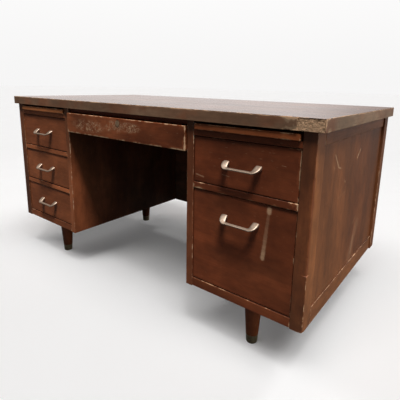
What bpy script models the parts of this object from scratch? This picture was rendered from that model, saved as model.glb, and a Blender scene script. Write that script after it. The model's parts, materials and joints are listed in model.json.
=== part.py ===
"""A wooden double-pedestal teacher desk, made of its separate pieces.

Metres, +Z up. The drawers face -Y, +X is on the right of someone who looks at them, and the origin is on the
floor under the middle of the desk's outer box.
"""

import math

import bmesh
import bpy
from mathutils import Matrix, Vector
from mathutils.geometry import interpolate_bezier

# Overall sizes
TOP_WIDTH = 1.524
TOP_DEPTH = 0.762
DESK_HEIGHT = 0.762
TOP_THICKNESS = 0.034
PEDESTAL_WIDTH = 0.416
LEG_CLEARANCE = 0.173

# How far the top stands out past the pedestals
SIDE_OVERHANG = 0.020
FRONT_OVERHANG = 0.010
REAR_OVERHANG = 0.010

# Gaps: a glued or resting joint, a drawer front in its opening, a drawer box beside its opening
GAP = 0.0003
FRONT_GAP = 0.002
BOX_GAP = 0.005

# Corner posts, rails and panels of a pedestal
FRONT_POST_WIDTH = 0.038
FRONT_POST_DEPTH = 0.056
REAR_POST_DEPTH = 0.046
REAR_POST_PROUD = 0.006
SIDE_RAIL_THICKNESS = 0.022
SIDE_TOP_RAIL_HEIGHT = 0.039
SIDE_BOTTOM_RAIL_HEIGHT = 0.055
SIDE_PANEL_RECESS = 0.004
INNER_STILE_WIDTH = 0.026
INNER_STILE_DEPTH = 0.026
INNER_PANEL_THICKNESS = 0.019
BACK_BOARD_THICKNESS = 0.012
BACK_BOARD_SETBACK = 0.014
BOTTOM_RAIL_HEIGHT = 0.033
BOTTOM_RAIL_DEPTH = 0.020
BOTTOM_RAIL_LIFT = 0.003
BOTTOM_BOARD_THICKNESS = 0.018
DIVIDER_THICKNESS = 0.020

# Writing slides and the shelves that they run on
SLIDE_THICKNESS = 0.018
SLIDE_HEADROOM = 0.008
SLIDE_SIDE_GAP = 0.006
SLIDE_PROUD = 0.006
SLIDE_REAR_GAP = 0.220
SLIDE_SHELF_THICKNESS = 0.019

# Pedestal drawers
SMALL_DRAWERS = 3
DRAWER_RECESS = 0.003
DRAWER_FRONT_THICKNESS = 0.020
DRAWER_SIDE_THICKNESS = 0.012
DRAWER_BOTTOM_THICKNESS = 0.006
DRAWER_BOTTOM_LIFT = 0.008
DRAWER_GROOVE_DEPTH = 0.005
DRAWER_REAR_GAP = 0.075
SMALL_BOX_HEADROOM = 0.038
FILE_BOX_HEADROOM = 0.070

# Bow pulls
PULL_WIDTH = 0.130
PULL_BAR_LENGTH = 0.074
PULL_STAND = 0.0275
PULL_FALL = 0.011
PULL_FOOT_WIDTH = 0.022
PULL_FOOT_HEIGHT = 0.015
PULL_BAR_DEPTH = 0.009
PULL_STRAP_THICKNESS = 0.0045
PULL_DROP = 0.070
PULL_FOOT_EASE = 0.6
PULL_FOOT_FALL = 0.2
PULL_BAR_EASE = 0.7
PULL_LEG_STEPS = 7
PULL_SIDES = 12
SHARP_ANGLE = math.radians(40)

# Kneehole: rail, modesty panel, centre drawer, its runners and its lock
KNEE_RAIL_HEIGHT = 0.017
KNEE_RAIL_DEPTH = 0.020
KNEE_RAIL_SETBACK = 0.010
MODESTY_THICKNESS = 0.016
MODESTY_SETBACK = 0.080
CENTRE_TOP_GAP = 0.002
CENTRE_FRONT_HEIGHT = 0.079
CENTRE_FRONT_PROUD = 0.008
CENTRE_SIDE_GAP = 0.004
TRAY_HEADROOM = 0.009
TRAY_DEPTH = 0.460
TRAY_BOTTOM_THICKNESS = 0.005
RUNNER_WIDTH = 0.018
RUNNER_HEIGHT = 0.015
RUNNER_LIFT = 0.002
RUNNER_SETBACK = 0.004
LOCK_DROP = 0.018
LOCK_BODY_RADIUS = 0.0085
LOCK_FLANGE_LAP = 0.002
LOCK_FLANGE_THICKNESS = 0.0012
LOCK_PLUG_RADIUS = 0.006
KEYWAY_WIDTH = 0.0016
KEYWAY_HEIGHT = 0.0076
KEYWAY_DEPTH = 0.003
CAM_REACH = 0.026
CAM_WIDTH = 0.010
CAM_THICKNESS = 0.0025
CAM_CLEARANCE = 0.001

# Legs and ferrules
LEG_TOP_DIAMETER = 0.064
LEG_FOOT_DIAMETER = 0.037
FERRULE_HEIGHT = 0.030
FERRULE_WALL = 0.0012
FERRULE_FLOOR = 0.003
FERRULE_ROUNDING = 0.002
LEG_DOWEL_RADIUS = 0.008
LEG_DOWEL_LENGTH = 0.013
LEG_OUTSET = 0.006
FRONT_LEG_SETBACK = 0.090
REAR_LEG_SETBACK = 0.116
ROUND_STEPS = 24

# Softened arrises, and how far a cutter runs past what it cuts
TOP_ROUNDING = 0.002
EDGE_ROUNDING = 0.0012
CUT_PAST = 0.020

# The upper side of a pull's bar, which leans forward as the legs fall
PULL_UP = Vector((0.0, -PULL_FALL, PULL_STAND)).normalized()

# Places worked out from the sizes, for the right-hand pedestal
PULL_PAST_TOP = max(0.0, PULL_STAND + GAP - DRAWER_RECESS - FRONT_OVERHANG)
TOP_Y = PULL_PAST_TOP / 2
FACE_Y = TOP_Y - TOP_DEPTH / 2 + FRONT_OVERHANG
REAR_Y = TOP_Y + TOP_DEPTH / 2 - REAR_OVERHANG
BACK_Y = REAR_Y - BACK_BOARD_SETBACK - BACK_BOARD_THICKNESS
SIDE_X = TOP_WIDTH / 2 - SIDE_OVERHANG
SIDE_INNER_X = SIDE_X - SIDE_RAIL_THICKNESS
KNEE_X = SIDE_X - PEDESTAL_WIDTH
PANEL_INNER_X = KNEE_X + INNER_PANEL_THICKNESS
OPENING_IN_X = KNEE_X + INNER_STILE_WIDTH
OPENING_OUT_X = SIDE_X - FRONT_POST_WIDTH
OPENING_X = (OPENING_IN_X + OPENING_OUT_X) / 2
UNDER_TOP = DESK_HEIGHT - TOP_THICKNESS
CARCASS_TOP = UNDER_TOP - GAP
SLIDE_TOP = UNDER_TOP - SLIDE_HEADROOM
SHELF_TOP = SLIDE_TOP - SLIDE_THICKNESS - GAP
OPENING_TOP = SHELF_TOP - SLIDE_SHELF_THICKNESS
OPENING_BOTTOM = LEG_CLEARANCE + BOTTOM_RAIL_HEIGHT
DRAWER_PITCH = (OPENING_TOP - OPENING_BOTTOM + DIVIDER_THICKNESS) / SMALL_DRAWERS
DRAWER_FRONT_Y = FACE_Y + DRAWER_RECESS
DRAWER_BACK_OF_FRONT = DRAWER_FRONT_Y + DRAWER_FRONT_THICKNESS
CENTRE_FRONT_Y = FACE_Y - CENTRE_FRONT_PROUD
CENTRE_BACK_OF_FRONT = CENTRE_FRONT_Y + DRAWER_FRONT_THICKNESS
CENTRE_TOP = UNDER_TOP - KNEE_RAIL_HEIGHT - CENTRE_TOP_GAP
CENTRE_BOTTOM = CENTRE_TOP - CENTRE_FRONT_HEIGHT
KNEE_RAIL_BACK = FACE_Y + KNEE_RAIL_SETBACK + KNEE_RAIL_DEPTH
BOTTOM_BOARD_UNDERSIDE = OPENING_BOTTOM - BOTTOM_BOARD_THICKNESS
LEG_TOP = BOTTOM_BOARD_UNDERSIDE - GAP
LEG_X = SIDE_X - PEDESTAL_WIDTH / 2 + LEG_OUTSET
LEG_Y = {"front": FACE_Y + FRONT_LEG_SETBACK, "rear": REAR_Y - REAR_LEG_SETBACK}
SIDES = {"left": -1, "right": 1}


def clear_scene():
    for obj in list(bpy.data.objects):
        bpy.data.objects.remove(obj, do_unlink=True)


def new_collection(name):
    collection = bpy.data.collections.new(name)
    bpy.context.scene.collection.children.link(collection)
    return collection


def finish(name, colour, roughness, metallic=0.0):
    """A plain surface of one colour (linear red, green, blue)."""
    material = bpy.data.materials.new(name)
    material.use_nodes = True
    shader = material.node_tree.nodes["Principled BSDF"]
    shader.inputs["Base Color"].default_value = (*colour, 1.0)
    shader.inputs["Roughness"].default_value = roughness
    shader.inputs["Metallic"].default_value = metallic
    return material


clear_scene()
PARTS = new_collection("teacher_desk")
CUTTERS = new_collection("cutters")
TOP_FINISH = finish("worn_top_veneer", (0.16, 0.11, 0.085), 0.25)
FACE_FINISH = finish("reddish_walnut", (0.085, 0.025, 0.011), 0.38)
SIDE_FINISH = finish("faded_walnut", (0.13, 0.062, 0.036), 0.45)
SLIDE_FINISH = finish("orange_birch", (0.19, 0.065, 0.026), 0.45)
INSIDE_FINISH = finish("pale_drawer_wood", (0.36, 0.22, 0.12), 0.6)
LEG_FINISH = finish("dark_stained_leg", (0.028, 0.013, 0.009), 0.35)
FERRULE_FINISH = finish("blackened_ferrule", (0.022, 0.022, 0.016), 0.35, 0.8)
PULL_FINISH = finish("champagne_pull", (0.61, 0.49, 0.38), 0.3, 1.0)
LOCK_FINISH = finish("dull_lock_brass", (0.30, 0.19, 0.10), 0.4, 1.0)


def place(obj, at, parent):
    """Puts an object at a point of the desk, under its parent empty if it has one."""
    obj.parent = parent
    obj.location = at
    while parent:
        obj.location -= parent.location
        parent = parent.parent


def add_part(name, data, material, at, parent=None):
    data.materials.append(material)
    obj = bpy.data.objects.new(name, data)
    PARTS.objects.link(obj)
    place(obj, at, parent)
    return obj


def add_axis(name, at, parent=None):
    """An empty on a moving body's axis, which its pieces hang from."""
    axis = bpy.data.objects.new(name, None)
    axis.empty_display_size = 0.03
    PARTS.objects.link(axis)
    place(axis, at, parent)
    return axis


def mesh_from(bm, name):
    mesh = bpy.data.meshes.new(name)
    bm.to_mesh(mesh)
    bm.free()
    return mesh


def box_mesh(name, x, y, z):
    bm = bmesh.new()
    bmesh.ops.create_cube(bm, size=1.0)
    bmesh.ops.scale(bm, vec=(x[1] - x[0], y[1] - y[0], z[1] - z[0]), verts=bm.verts)
    return mesh_from(bm, name)


def middle(x, y, z):
    return ((x[0] + x[1]) / 2, (y[0] + y[1]) / 2, (z[0] + z[1]) / 2)


def soften(obj, width, segments=1):
    """Takes the sharpness off the arrises."""
    bevel = obj.modifiers.new("Softened arrises", "BEVEL")
    bevel.width = width
    bevel.segments = segments
    bevel.limit_method = "ANGLE"


def board(name, x, y, z, material, parent=None, rounding=EDGE_ROUNDING):
    """A straight board given by its low and high place along each axis."""
    obj = add_part(name, box_mesh(name, x, y, z), material, middle(x, y, z), parent)
    if rounding:
        soften(obj, rounding)
    return obj


def add_cutter(name, mesh, at, parent=None):
    obj = bpy.data.objects.new(name, mesh)
    CUTTERS.objects.link(obj)
    obj.hide_render = True
    obj.display_type = "WIRE"
    place(obj, at, parent)
    return obj


def box_cutter(name, x, y, z, parent=None):
    return add_cutter(name, box_mesh(name, x, y, z), middle(x, y, z), parent)


def round_cutter(name, radius, low, high, at, parent=None, along_y=False):
    """A cylinder cutter from low to high along Z, or along Y."""
    bm = bmesh.new()
    bmesh.ops.create_cone(
        bm, cap_ends=True, segments=ROUND_STEPS, radius1=radius, radius2=radius, depth=high - low
    )
    if along_y:
        bmesh.ops.rotate(bm, verts=bm.verts, matrix=Matrix.Rotation(math.pi / 2, 3, "X"))
    centre = (at[0], (low + high) / 2, at[1]) if along_y else (at[0], at[1], (low + high) / 2)
    return add_cutter(name, mesh_from(bm, name), centre, parent)


def combine(obj, other, operation="DIFFERENCE"):
    boolean = obj.modifiers.new(f"{operation.title()} {other.name}", "BOOLEAN")
    boolean.operation = operation
    boolean.object = other


def turned(name, profile, material, at, parent=None, closed=False, along_y=False):
    """A turned piece: (radius, height) points down its outer side, spun round Z, or laid to face -Y."""
    mesh = bpy.data.meshes.new(name)
    edges = [(i, i + 1) for i in range(len(profile) - 1)]
    if closed:
        edges.append((len(profile) - 1, 0))
    mesh.from_pydata([(radius, 0.0, height) for radius, height in profile], edges, [])
    obj = add_part(name, mesh, material, at, parent)
    if along_y:
        obj.rotation_euler = (math.pi / 2, 0.0, 0.0)
    screw = obj.modifiers.new("Turned", "SCREW")
    screw.steps = ROUND_STEPS
    screw.render_steps = ROUND_STEPS
    screw.use_merge_vertices = True
    screw.merge_threshold = 0.00001
    screw.use_smooth_shade = True
    return obj


def grown(low_high, by):
    return (low_high[0] - by, low_high[1] + by)


def on_side(side, low, high):
    """A width range of the right-hand pedestal, mirrored for the left-hand one."""
    return (low, high) if SIDES[side] > 0 else (-high, -low)


def desk_top():
    x = (-TOP_WIDTH / 2, TOP_WIDTH / 2)
    y = (TOP_Y - TOP_DEPTH / 2, TOP_Y + TOP_DEPTH / 2)
    top = board("desk_top", x, y, (UNDER_TOP, DESK_HEIGHT), TOP_FINISH, rounding=0)
    soften(top, TOP_ROUNDING, segments=2)


def side_frame(side):
    """Posts, rails and panel of a pedestal's outer side."""
    height = (LEG_CLEARANCE, CARCASS_TOP)
    post = on_side(side, OPENING_OUT_X, SIDE_X)
    board(f"{side}_front_post", post, (FACE_Y, FACE_Y + FRONT_POST_DEPTH), height, SIDE_FINISH)
    rear_post = on_side(side, OPENING_OUT_X, SIDE_X + REAR_POST_PROUD)
    board(f"{side}_rear_post", rear_post, (REAR_Y - REAR_POST_DEPTH, REAR_Y), height, SIDE_FINISH)
    between = (FACE_Y + FRONT_POST_DEPTH + GAP, REAR_Y - REAR_POST_DEPTH - GAP)
    rail = on_side(side, SIDE_INNER_X, SIDE_X)
    top_rail = (UNDER_TOP - SIDE_TOP_RAIL_HEIGHT, CARCASS_TOP)
    bottom_rail = (LEG_CLEARANCE, LEG_CLEARANCE + SIDE_BOTTOM_RAIL_HEIGHT)
    board(f"{side}_side_top_rail", rail, between, top_rail, SIDE_FINISH)
    board(f"{side}_side_bottom_rail", rail, between, bottom_rail, SIDE_FINISH)
    panel = on_side(side, SIDE_INNER_X, SIDE_X - SIDE_PANEL_RECESS)
    panel_height = (bottom_rail[1] + GAP, top_rail[0] - GAP)
    board(f"{side}_side_panel", panel, between, panel_height, SIDE_FINISH, rounding=0)


def inner_panel(side):
    """The kneehole side of a pedestal: a panel with a thicker stile glued along its front edge."""
    x = on_side(side, KNEE_X, OPENING_IN_X)
    height = (LEG_CLEARANCE, CARCASS_TOP)
    panel = board(f"{side}_inner_panel", x, (FACE_Y, REAR_Y), height, FACE_FINISH)
    relief = box_cutter(
        f"{side}_inner_panel_relief",
        on_side(side, PANEL_INNER_X, OPENING_IN_X + CUT_PAST),
        (FACE_Y + INNER_STILE_DEPTH, REAR_Y + CUT_PAST),
        grown(height, CUT_PAST),
    )
    combine(panel, relief)


def post_notches(side):
    """Cutters that fit the boards of a pedestal round its front post, inner stile and rear post."""
    height = grown((LEG_CLEARANCE, CARCASS_TOP), CUT_PAST)
    post_x = on_side(side, OPENING_OUT_X - GAP, SIDE_X + CUT_PAST)
    stile_x = on_side(side, KNEE_X - CUT_PAST, OPENING_IN_X + GAP)
    front_post_y = (FACE_Y - CUT_PAST, FACE_Y + FRONT_POST_DEPTH + GAP)
    stile_y = (FACE_Y - CUT_PAST, FACE_Y + INNER_STILE_DEPTH + GAP)
    rear_post_y = (REAR_Y - REAR_POST_DEPTH - GAP, REAR_Y + CUT_PAST)
    return [
        box_cutter(f"{side}_front_post_notch", post_x, front_post_y, height),
        box_cutter(f"{side}_stile_notch", stile_x, stile_y, height),
        box_cutter(f"{side}_rear_post_notch", post_x, rear_post_y, height),
    ]


def pedestal_board(name, side, z, notches, cuts=()):
    """A board across a pedestal, from its face to its back board."""
    x = on_side(side, PANEL_INNER_X + GAP, SIDE_INNER_X - GAP)
    piece = board(name, x, (FACE_Y, BACK_Y - GAP), z, FACE_FINISH)
    for cutter in [*notches, *cuts]:
        combine(piece, cutter)


def bottom_board(side, notches):
    """The floor of a pedestal, with its front rail and the holes for the legs' dowels."""
    z = (LEG_CLEARANCE + BOTTOM_RAIL_LIFT, OPENING_BOTTOM)
    under = box_cutter(
        f"{side}_bottom_relief",
        grown(on_side(side, KNEE_X, SIDE_X), CUT_PAST),
        (FACE_Y + BOTTOM_RAIL_DEPTH, REAR_Y),
        (LEG_CLEARANCE - CUT_PAST, BOTTOM_BOARD_UNDERSIDE),
    )
    holes = [
        round_cutter(
            f"{side}_{end}_dowel_hole",
            LEG_DOWEL_RADIUS + GAP,
            BOTTOM_BOARD_UNDERSIDE - CUT_PAST,
            BOTTOM_BOARD_UNDERSIDE + LEG_DOWEL_LENGTH + GAP,
            (SIDES[side] * LEG_X, y),
        )
        for end, y in LEG_Y.items()
    ]
    pedestal_board(f"{side}_bottom_board", side, z, notches, [under, *holes])


def pedestal(side, divider_names):
    """A pedestal's fixed pieces. The dividers are named from the top down."""
    side_frame(side)
    inner_panel(side)
    notches = post_notches(side)
    bottom_board(side, notches)
    pedestal_board(f"{side}_slide_shelf", side, (OPENING_TOP, SHELF_TOP), notches)
    for count, name in enumerate(divider_names, start=1):
        top = OPENING_TOP - count * DRAWER_PITCH + DIVIDER_THICKNESS
        pedestal_board(name, side, (top - DIVIDER_THICKNESS, top), notches)
    back = on_side(side, PANEL_INNER_X + GAP, OPENING_OUT_X - GAP)
    back_y = (BACK_Y, BACK_Y + BACK_BOARD_THICKNESS)
    board(f"{side}_back_board", back, back_y, (LEG_CLEARANCE, CARCASS_TOP), SIDE_FINISH, rounding=0)


def leg_radius(height):
    """The leg's taper, measured from the floor."""
    foot = LEG_FOOT_DIAMETER / 2
    return foot + (LEG_TOP_DIAMETER / 2 - foot) * height / LEG_TOP


def leg(end, side):
    """A tapered leg with its dowel, and the metal ferrule on its foot."""
    at = (SIDES[side] * LEG_X, LEG_Y[end], 0.0)
    dowel_top = LEG_TOP + LEG_DOWEL_LENGTH
    shoulder = FERRULE_HEIGHT + GAP
    tenon_end = FERRULE_FLOOR + GAP
    wood = [
        (0.0, dowel_top),
        (LEG_DOWEL_RADIUS, dowel_top),
        (LEG_DOWEL_RADIUS, LEG_TOP),
        (leg_radius(LEG_TOP), LEG_TOP),
        (leg_radius(shoulder), shoulder),
        (leg_radius(shoulder) - FERRULE_WALL - GAP, shoulder),
        (leg_radius(tenon_end) - FERRULE_WALL - GAP, tenon_end),
        (0.0, tenon_end),
    ]
    turned(f"{end}_{side}_leg", wood, LEG_FINISH, at)
    cup = [
        (0.0, FERRULE_FLOOR),
        (leg_radius(FERRULE_FLOOR) - FERRULE_WALL, FERRULE_FLOOR),
        (leg_radius(FERRULE_HEIGHT) - FERRULE_WALL, FERRULE_HEIGHT),
        (leg_radius(FERRULE_HEIGHT), FERRULE_HEIGHT),
        (leg_radius(FERRULE_ROUNDING), FERRULE_ROUNDING),
        (leg_radius(0.0) - FERRULE_ROUNDING, 0.0),
        (0.0, 0.0),
    ]
    turned(f"{end}_{side}_ferrule", cup, FERRULE_FINISH, at)


def writing_slide(side):
    x = on_side(side, OPENING_IN_X + SLIDE_SIDE_GAP, OPENING_OUT_X - SLIDE_SIDE_GAP)
    y = (FACE_Y - SLIDE_PROUD, BACK_Y - SLIDE_REAR_GAP)
    z = (SLIDE_TOP - SLIDE_THICKNESS, SLIDE_TOP)
    runs_on = add_axis(f"{side}_slide_travel", (SIDES[side] * OPENING_X, y[0], z[0]))
    board(f"{side}_writing_slide", x, y, z, SLIDE_FINISH, runs_on)


def pull_path():
    """Points from the right foot of a bow pull round to its left foot, from the drawer's face forwards."""
    foot = Vector(((PULL_WIDTH - PULL_FOOT_WIDTH) / 2, 0.0, 0.0))
    reach = PULL_STAND - PULL_BAR_DEPTH / 2 * PULL_UP.z
    bar = Vector((PULL_BAR_LENGTH / 2, -reach, -PULL_FALL))
    forward = foot + Vector((0.0, -PULL_FOOT_EASE * reach, -PULL_FOOT_FALL * PULL_FALL))
    outward = bar + Vector((PULL_BAR_EASE * (foot.x - bar.x), 0.0, 0.0))
    right = interpolate_bezier(foot, forward, outward, bar, PULL_LEG_STEPS)
    left = [Vector((-point.x, point.y, point.z)) for point in reversed(right)]
    return [*right, *left]


def pull_sections():
    """(centre, half width, half thickness) along a bow pull: broad feet that draw in to a thin bar."""
    path = pull_path()
    last = len(path) - 1
    sections = []
    for index, point in enumerate(path):
        along = (path[min(index + 1, last)] - path[max(index - 1, 0)]).normalized()
        if index in (0, last):
            along = Vector((0.0, -1.0 if index == 0 else 1.0, 0.0))
        from_foot = min(1.0, min(index, last - index) / (PULL_LEG_STEPS - 1))
        ease = from_foot * from_foot * (3.0 - 2.0 * from_foot)
        width = PULL_FOOT_WIDTH + (PULL_BAR_DEPTH - PULL_FOOT_WIDTH) * ease
        thickness = PULL_STRAP_THICKNESS + (PULL_FOOT_HEIGHT - PULL_STRAP_THICKNESS) * (1.0 - from_foot) ** 3
        across = along.cross(PULL_UP).normalized()
        sections.append((point, across * width / 2, across.cross(along) * thickness / 2))
    return sections


def pull_mesh(name):
    """Oval rings along the pull, bridged one to the next and capped at the feet."""
    bm = bmesh.new()
    rings = []
    sections = pull_sections()
    for index, (centre, across, through) in enumerate(sections):
        frame = Matrix.Identity(4)
        frame.col[0] = (*across, 0.0)
        frame.col[1] = (*through, 0.0)
        frame.col[2] = (*across.cross(through).normalized(), 0.0)
        frame.col[3] = (*centre, 1.0)
        capped = index in (0, len(sections) - 1)
        ring = bmesh.ops.create_circle(bm, cap_ends=capped, segments=PULL_SIDES, radius=1.0, matrix=frame)
        rings.append(list({edge for vert in ring["verts"] for edge in vert.link_edges}))
    for first, second in zip(rings, rings[1:]):
        bmesh.ops.bridge_loops(bm, edges=[*first, *second])
    bmesh.ops.recalc_face_normals(bm, faces=bm.faces)
    mesh = mesh_from(bm, name)
    mesh.shade_smooth()
    mesh.set_sharp_from_angle(angle=SHARP_ANGLE)
    return mesh


def drawer_bottom_space(x, z_low, box_back):
    """Where a drawer's bottom sheet lies: let into the grooves of the front, the sides and the back."""
    inside = grown(x, -DRAWER_SIDE_THICKNESS)
    y = (DRAWER_BACK_OF_FRONT - DRAWER_GROOVE_DEPTH, box_back - DRAWER_SIDE_THICKNESS + DRAWER_GROOVE_DEPTH)
    z = (z_low + DRAWER_BOTTOM_LIFT, z_low + DRAWER_BOTTOM_LIFT + DRAWER_BOTTOM_THICKNESS)
    return grown(inside, DRAWER_GROOVE_DEPTH), y, z


def drawer(name, side, z, box_headroom):
    """A pedestal drawer: front, box of two sides and a back, bottom sheet and bow pull."""
    travel = add_axis(f"{name}_travel", (SIDES[side] * OPENING_X, DRAWER_FRONT_Y, z[0]))
    front_x = on_side(side, OPENING_IN_X + FRONT_GAP, OPENING_OUT_X - FRONT_GAP)
    front_y = (DRAWER_FRONT_Y, DRAWER_BACK_OF_FRONT)
    front = board(f"{name}_front", front_x, front_y, grown(z, -FRONT_GAP), FACE_FINISH, travel)
    box_x = on_side(side, OPENING_IN_X + BOX_GAP, OPENING_OUT_X - BOX_GAP)
    box_y = (DRAWER_BACK_OF_FRONT + GAP, BACK_Y - DRAWER_REAR_GAP)
    box_z = (z[0] + GAP, z[1] - box_headroom)
    box = board(f"{name}_box", box_x, box_y, box_z, INSIDE_FINISH, travel)
    hollow = box_cutter(
        f"{name}_hollow",
        grown(box_x, -DRAWER_SIDE_THICKNESS),
        (box_y[0] - CUT_PAST, box_y[1] - DRAWER_SIDE_THICKNESS),
        grown(box_z, CUT_PAST),
        travel,
    )
    combine(box, hollow)
    sheet = drawer_bottom_space(box_x, box_z[0], box_y[1])
    board(f"{name}_bottom", *sheet, INSIDE_FINISH, travel, rounding=0)
    groove = box_cutter(f"{name}_groove", *[grown(extent, GAP) for extent in sheet], travel)
    combine(box, groove)
    combine(front, groove)
    pull_at = (SIDES[side] * OPENING_X, DRAWER_FRONT_Y - GAP, z[1] - PULL_DROP)
    add_part(f"{name}_pull", pull_mesh(f"{name}_pull"), PULL_FINISH, pull_at, travel)


def opening(first, last):
    """The height range of an opening that takes the small drawer spaces first to last, from the top down."""
    top = OPENING_TOP - first * DRAWER_PITCH
    bottom = OPENING_TOP - (last + 1) * DRAWER_PITCH + DIVIDER_THICKNESS
    return (bottom, top)


def kneehole():
    """The rail under the top, the modesty panel and the centre drawer's runners."""
    x = (-KNEE_X + GAP, KNEE_X - GAP)
    rail_y = (FACE_Y + KNEE_RAIL_SETBACK, KNEE_RAIL_BACK)
    board("kneehole_rail", x, rail_y, (UNDER_TOP - KNEE_RAIL_HEIGHT, CARCASS_TOP), FACE_FINISH)
    modesty_y = (REAR_Y - MODESTY_SETBACK, REAR_Y - MODESTY_SETBACK + MODESTY_THICKNESS)
    board("modesty_panel", x, modesty_y, (LEG_CLEARANCE, CARCASS_TOP), FACE_FINISH)
    runner_z = (CENTRE_BOTTOM + RUNNER_LIFT, CENTRE_BOTTOM + RUNNER_LIFT + RUNNER_HEIGHT)
    runner_front = CENTRE_BACK_OF_FRONT + RUNNER_SETBACK
    runner_y = (runner_front, runner_front + TRAY_DEPTH)
    for side in SIDES:
        runner_x = on_side(side, KNEE_X - GAP - RUNNER_WIDTH, KNEE_X - GAP)
        board(f"{side}_centre_runner", runner_x, runner_y, runner_z, INSIDE_FINISH)


def centre_drawer():
    """The shallow drawer over the kneehole: front, tray and lock."""
    front_y = (CENTRE_FRONT_Y, CENTRE_BACK_OF_FRONT)
    travel = add_axis("centre_drawer_travel", (0.0, CENTRE_FRONT_Y, CENTRE_BOTTOM))
    front_x = (-KNEE_X + CENTRE_SIDE_GAP, KNEE_X - CENTRE_SIDE_GAP)
    front = board("centre_drawer_front", front_x, front_y, (CENTRE_BOTTOM, CENTRE_TOP), FACE_FINISH, travel)
    tray_x = (-KNEE_X + BOX_GAP, KNEE_X - BOX_GAP)
    tray_y = (CENTRE_BACK_OF_FRONT + GAP, CENTRE_BACK_OF_FRONT + GAP + TRAY_DEPTH)
    tray_z = (CENTRE_BOTTOM + RUNNER_LIFT + RUNNER_HEIGHT + GAP, CENTRE_TOP - TRAY_HEADROOM)
    tray = board("centre_drawer_tray", tray_x, tray_y, tray_z, INSIDE_FINISH, travel)
    hollow = box_cutter(
        "centre_tray_hollow",
        grown(tray_x, -DRAWER_SIDE_THICKNESS),
        (tray_y[0] - CUT_PAST, tray_y[1] - DRAWER_SIDE_THICKNESS),
        (tray_z[0] + TRAY_BOTTOM_THICKNESS, tray_z[1] + CUT_PAST),
        travel,
    )
    combine(tray, hollow)
    lock_z = CENTRE_TOP - LOCK_DROP
    bore = round_cutter(
        "lock_bore", LOCK_BODY_RADIUS + GAP, *grown(front_y, CUT_PAST), (0.0, lock_z), travel, along_y=True
    )
    combine(front, bore)
    lock(lock_z, travel)


def lock(lock_z, drawer_travel):
    """The lock's fixed body, and the plug that turns in it with its cam."""
    front = LOCK_FLANGE_THICKNESS + GAP
    cam_front = KNEE_RAIL_BACK + CAM_CLEARANCE
    back = CENTRE_FRONT_Y - cam_front + GAP
    at = (0.0, CENTRE_FRONT_Y, lock_z)
    bore = LOCK_PLUG_RADIUS + GAP
    flange = LOCK_BODY_RADIUS + LOCK_FLANGE_LAP
    shell = [
        (flange, front),
        (flange, GAP),
        (LOCK_BODY_RADIUS, GAP),
        (LOCK_BODY_RADIUS, back),
        (bore, back),
        (bore, front),
    ]
    turned("lock_body", shell, LOCK_FINISH, at, drawer_travel, closed=True, along_y=True)
    turn = add_axis("lock_turn", at, drawer_travel)
    cam_back = CENTRE_FRONT_Y - cam_front - CAM_THICKNESS
    pin = [(0.0, front), (LOCK_PLUG_RADIUS, front), (LOCK_PLUG_RADIUS, cam_back), (0.0, cam_back)]
    plug = turned("lock_plug", pin, LOCK_FINISH, at, turn, along_y=True)
    face_y = CENTRE_FRONT_Y - front
    keyway = box_cutter(
        "keyway",
        (-KEYWAY_WIDTH / 2, KEYWAY_WIDTH / 2),
        (face_y - CUT_PAST, face_y + KEYWAY_DEPTH),
        (lock_z - KEYWAY_HEIGHT / 2, lock_z + KEYWAY_HEIGHT / 2),
        turn,
    )
    combine(plug, keyway)
    cam = box_cutter(
        "lock_cam",
        (-CAM_REACH, CAM_WIDTH / 2),
        (cam_front, cam_front + CAM_THICKNESS + GAP),
        (lock_z - CAM_WIDTH / 2, lock_z + CAM_WIDTH / 2),
        turn,
    )
    combine(plug, cam, "UNION")


def build():
    desk_top()
    pedestal("left", ["left_upper_divider", "left_lower_divider"])
    pedestal("right", ["right_divider"])
    kneehole()
    for end in LEG_Y:
        for side in SIDES:
            leg(end, side)
    for side in SIDES:
        writing_slide(side)
    for place_down, name in enumerate(["left_top_drawer", "left_middle_drawer", "left_bottom_drawer"]):
        drawer(name, "left", opening(place_down, place_down), SMALL_BOX_HEADROOM)
    drawer("right_top_drawer", "right", opening(0, 0), SMALL_BOX_HEADROOM)
    drawer("file_drawer", "right", opening(1, SMALL_DRAWERS - 1), FILE_BOX_HEADROOM)
    centre_drawer()


build()
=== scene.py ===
import json
import math
import random
from functools import reduce

import bmesh
import bpy
import numpy as np
from bpy.props import FloatProperty, FloatVectorProperty, PointerProperty
from mathutils import Matrix, Vector, noise
from mathutils.geometry import interpolate_bezier


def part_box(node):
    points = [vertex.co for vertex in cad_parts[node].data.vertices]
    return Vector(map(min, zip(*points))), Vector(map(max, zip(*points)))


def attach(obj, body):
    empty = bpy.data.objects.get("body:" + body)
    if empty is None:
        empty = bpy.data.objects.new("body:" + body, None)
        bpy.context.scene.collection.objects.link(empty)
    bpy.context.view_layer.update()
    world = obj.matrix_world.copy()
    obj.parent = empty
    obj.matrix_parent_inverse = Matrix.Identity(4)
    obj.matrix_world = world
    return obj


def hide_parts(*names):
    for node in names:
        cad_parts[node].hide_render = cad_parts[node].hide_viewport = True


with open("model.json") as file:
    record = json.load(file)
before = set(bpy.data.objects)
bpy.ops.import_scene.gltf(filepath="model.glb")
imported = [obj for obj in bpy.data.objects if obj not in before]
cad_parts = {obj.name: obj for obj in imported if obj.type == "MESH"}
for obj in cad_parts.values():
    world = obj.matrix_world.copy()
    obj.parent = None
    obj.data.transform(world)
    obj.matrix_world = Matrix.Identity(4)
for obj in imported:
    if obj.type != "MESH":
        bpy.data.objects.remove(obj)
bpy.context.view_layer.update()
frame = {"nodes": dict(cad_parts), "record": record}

bl_info = {
    "name": "Worn teacher desk",
    "version": (1, 0, 0),
    "blender": (4, 5, 0),
    "location": "View3D > Sidebar > Desk",
    "description": "Builds a worn wooden desk with two pedestals, with its finishes and a plain studio",
    "category": "Object",
}

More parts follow.
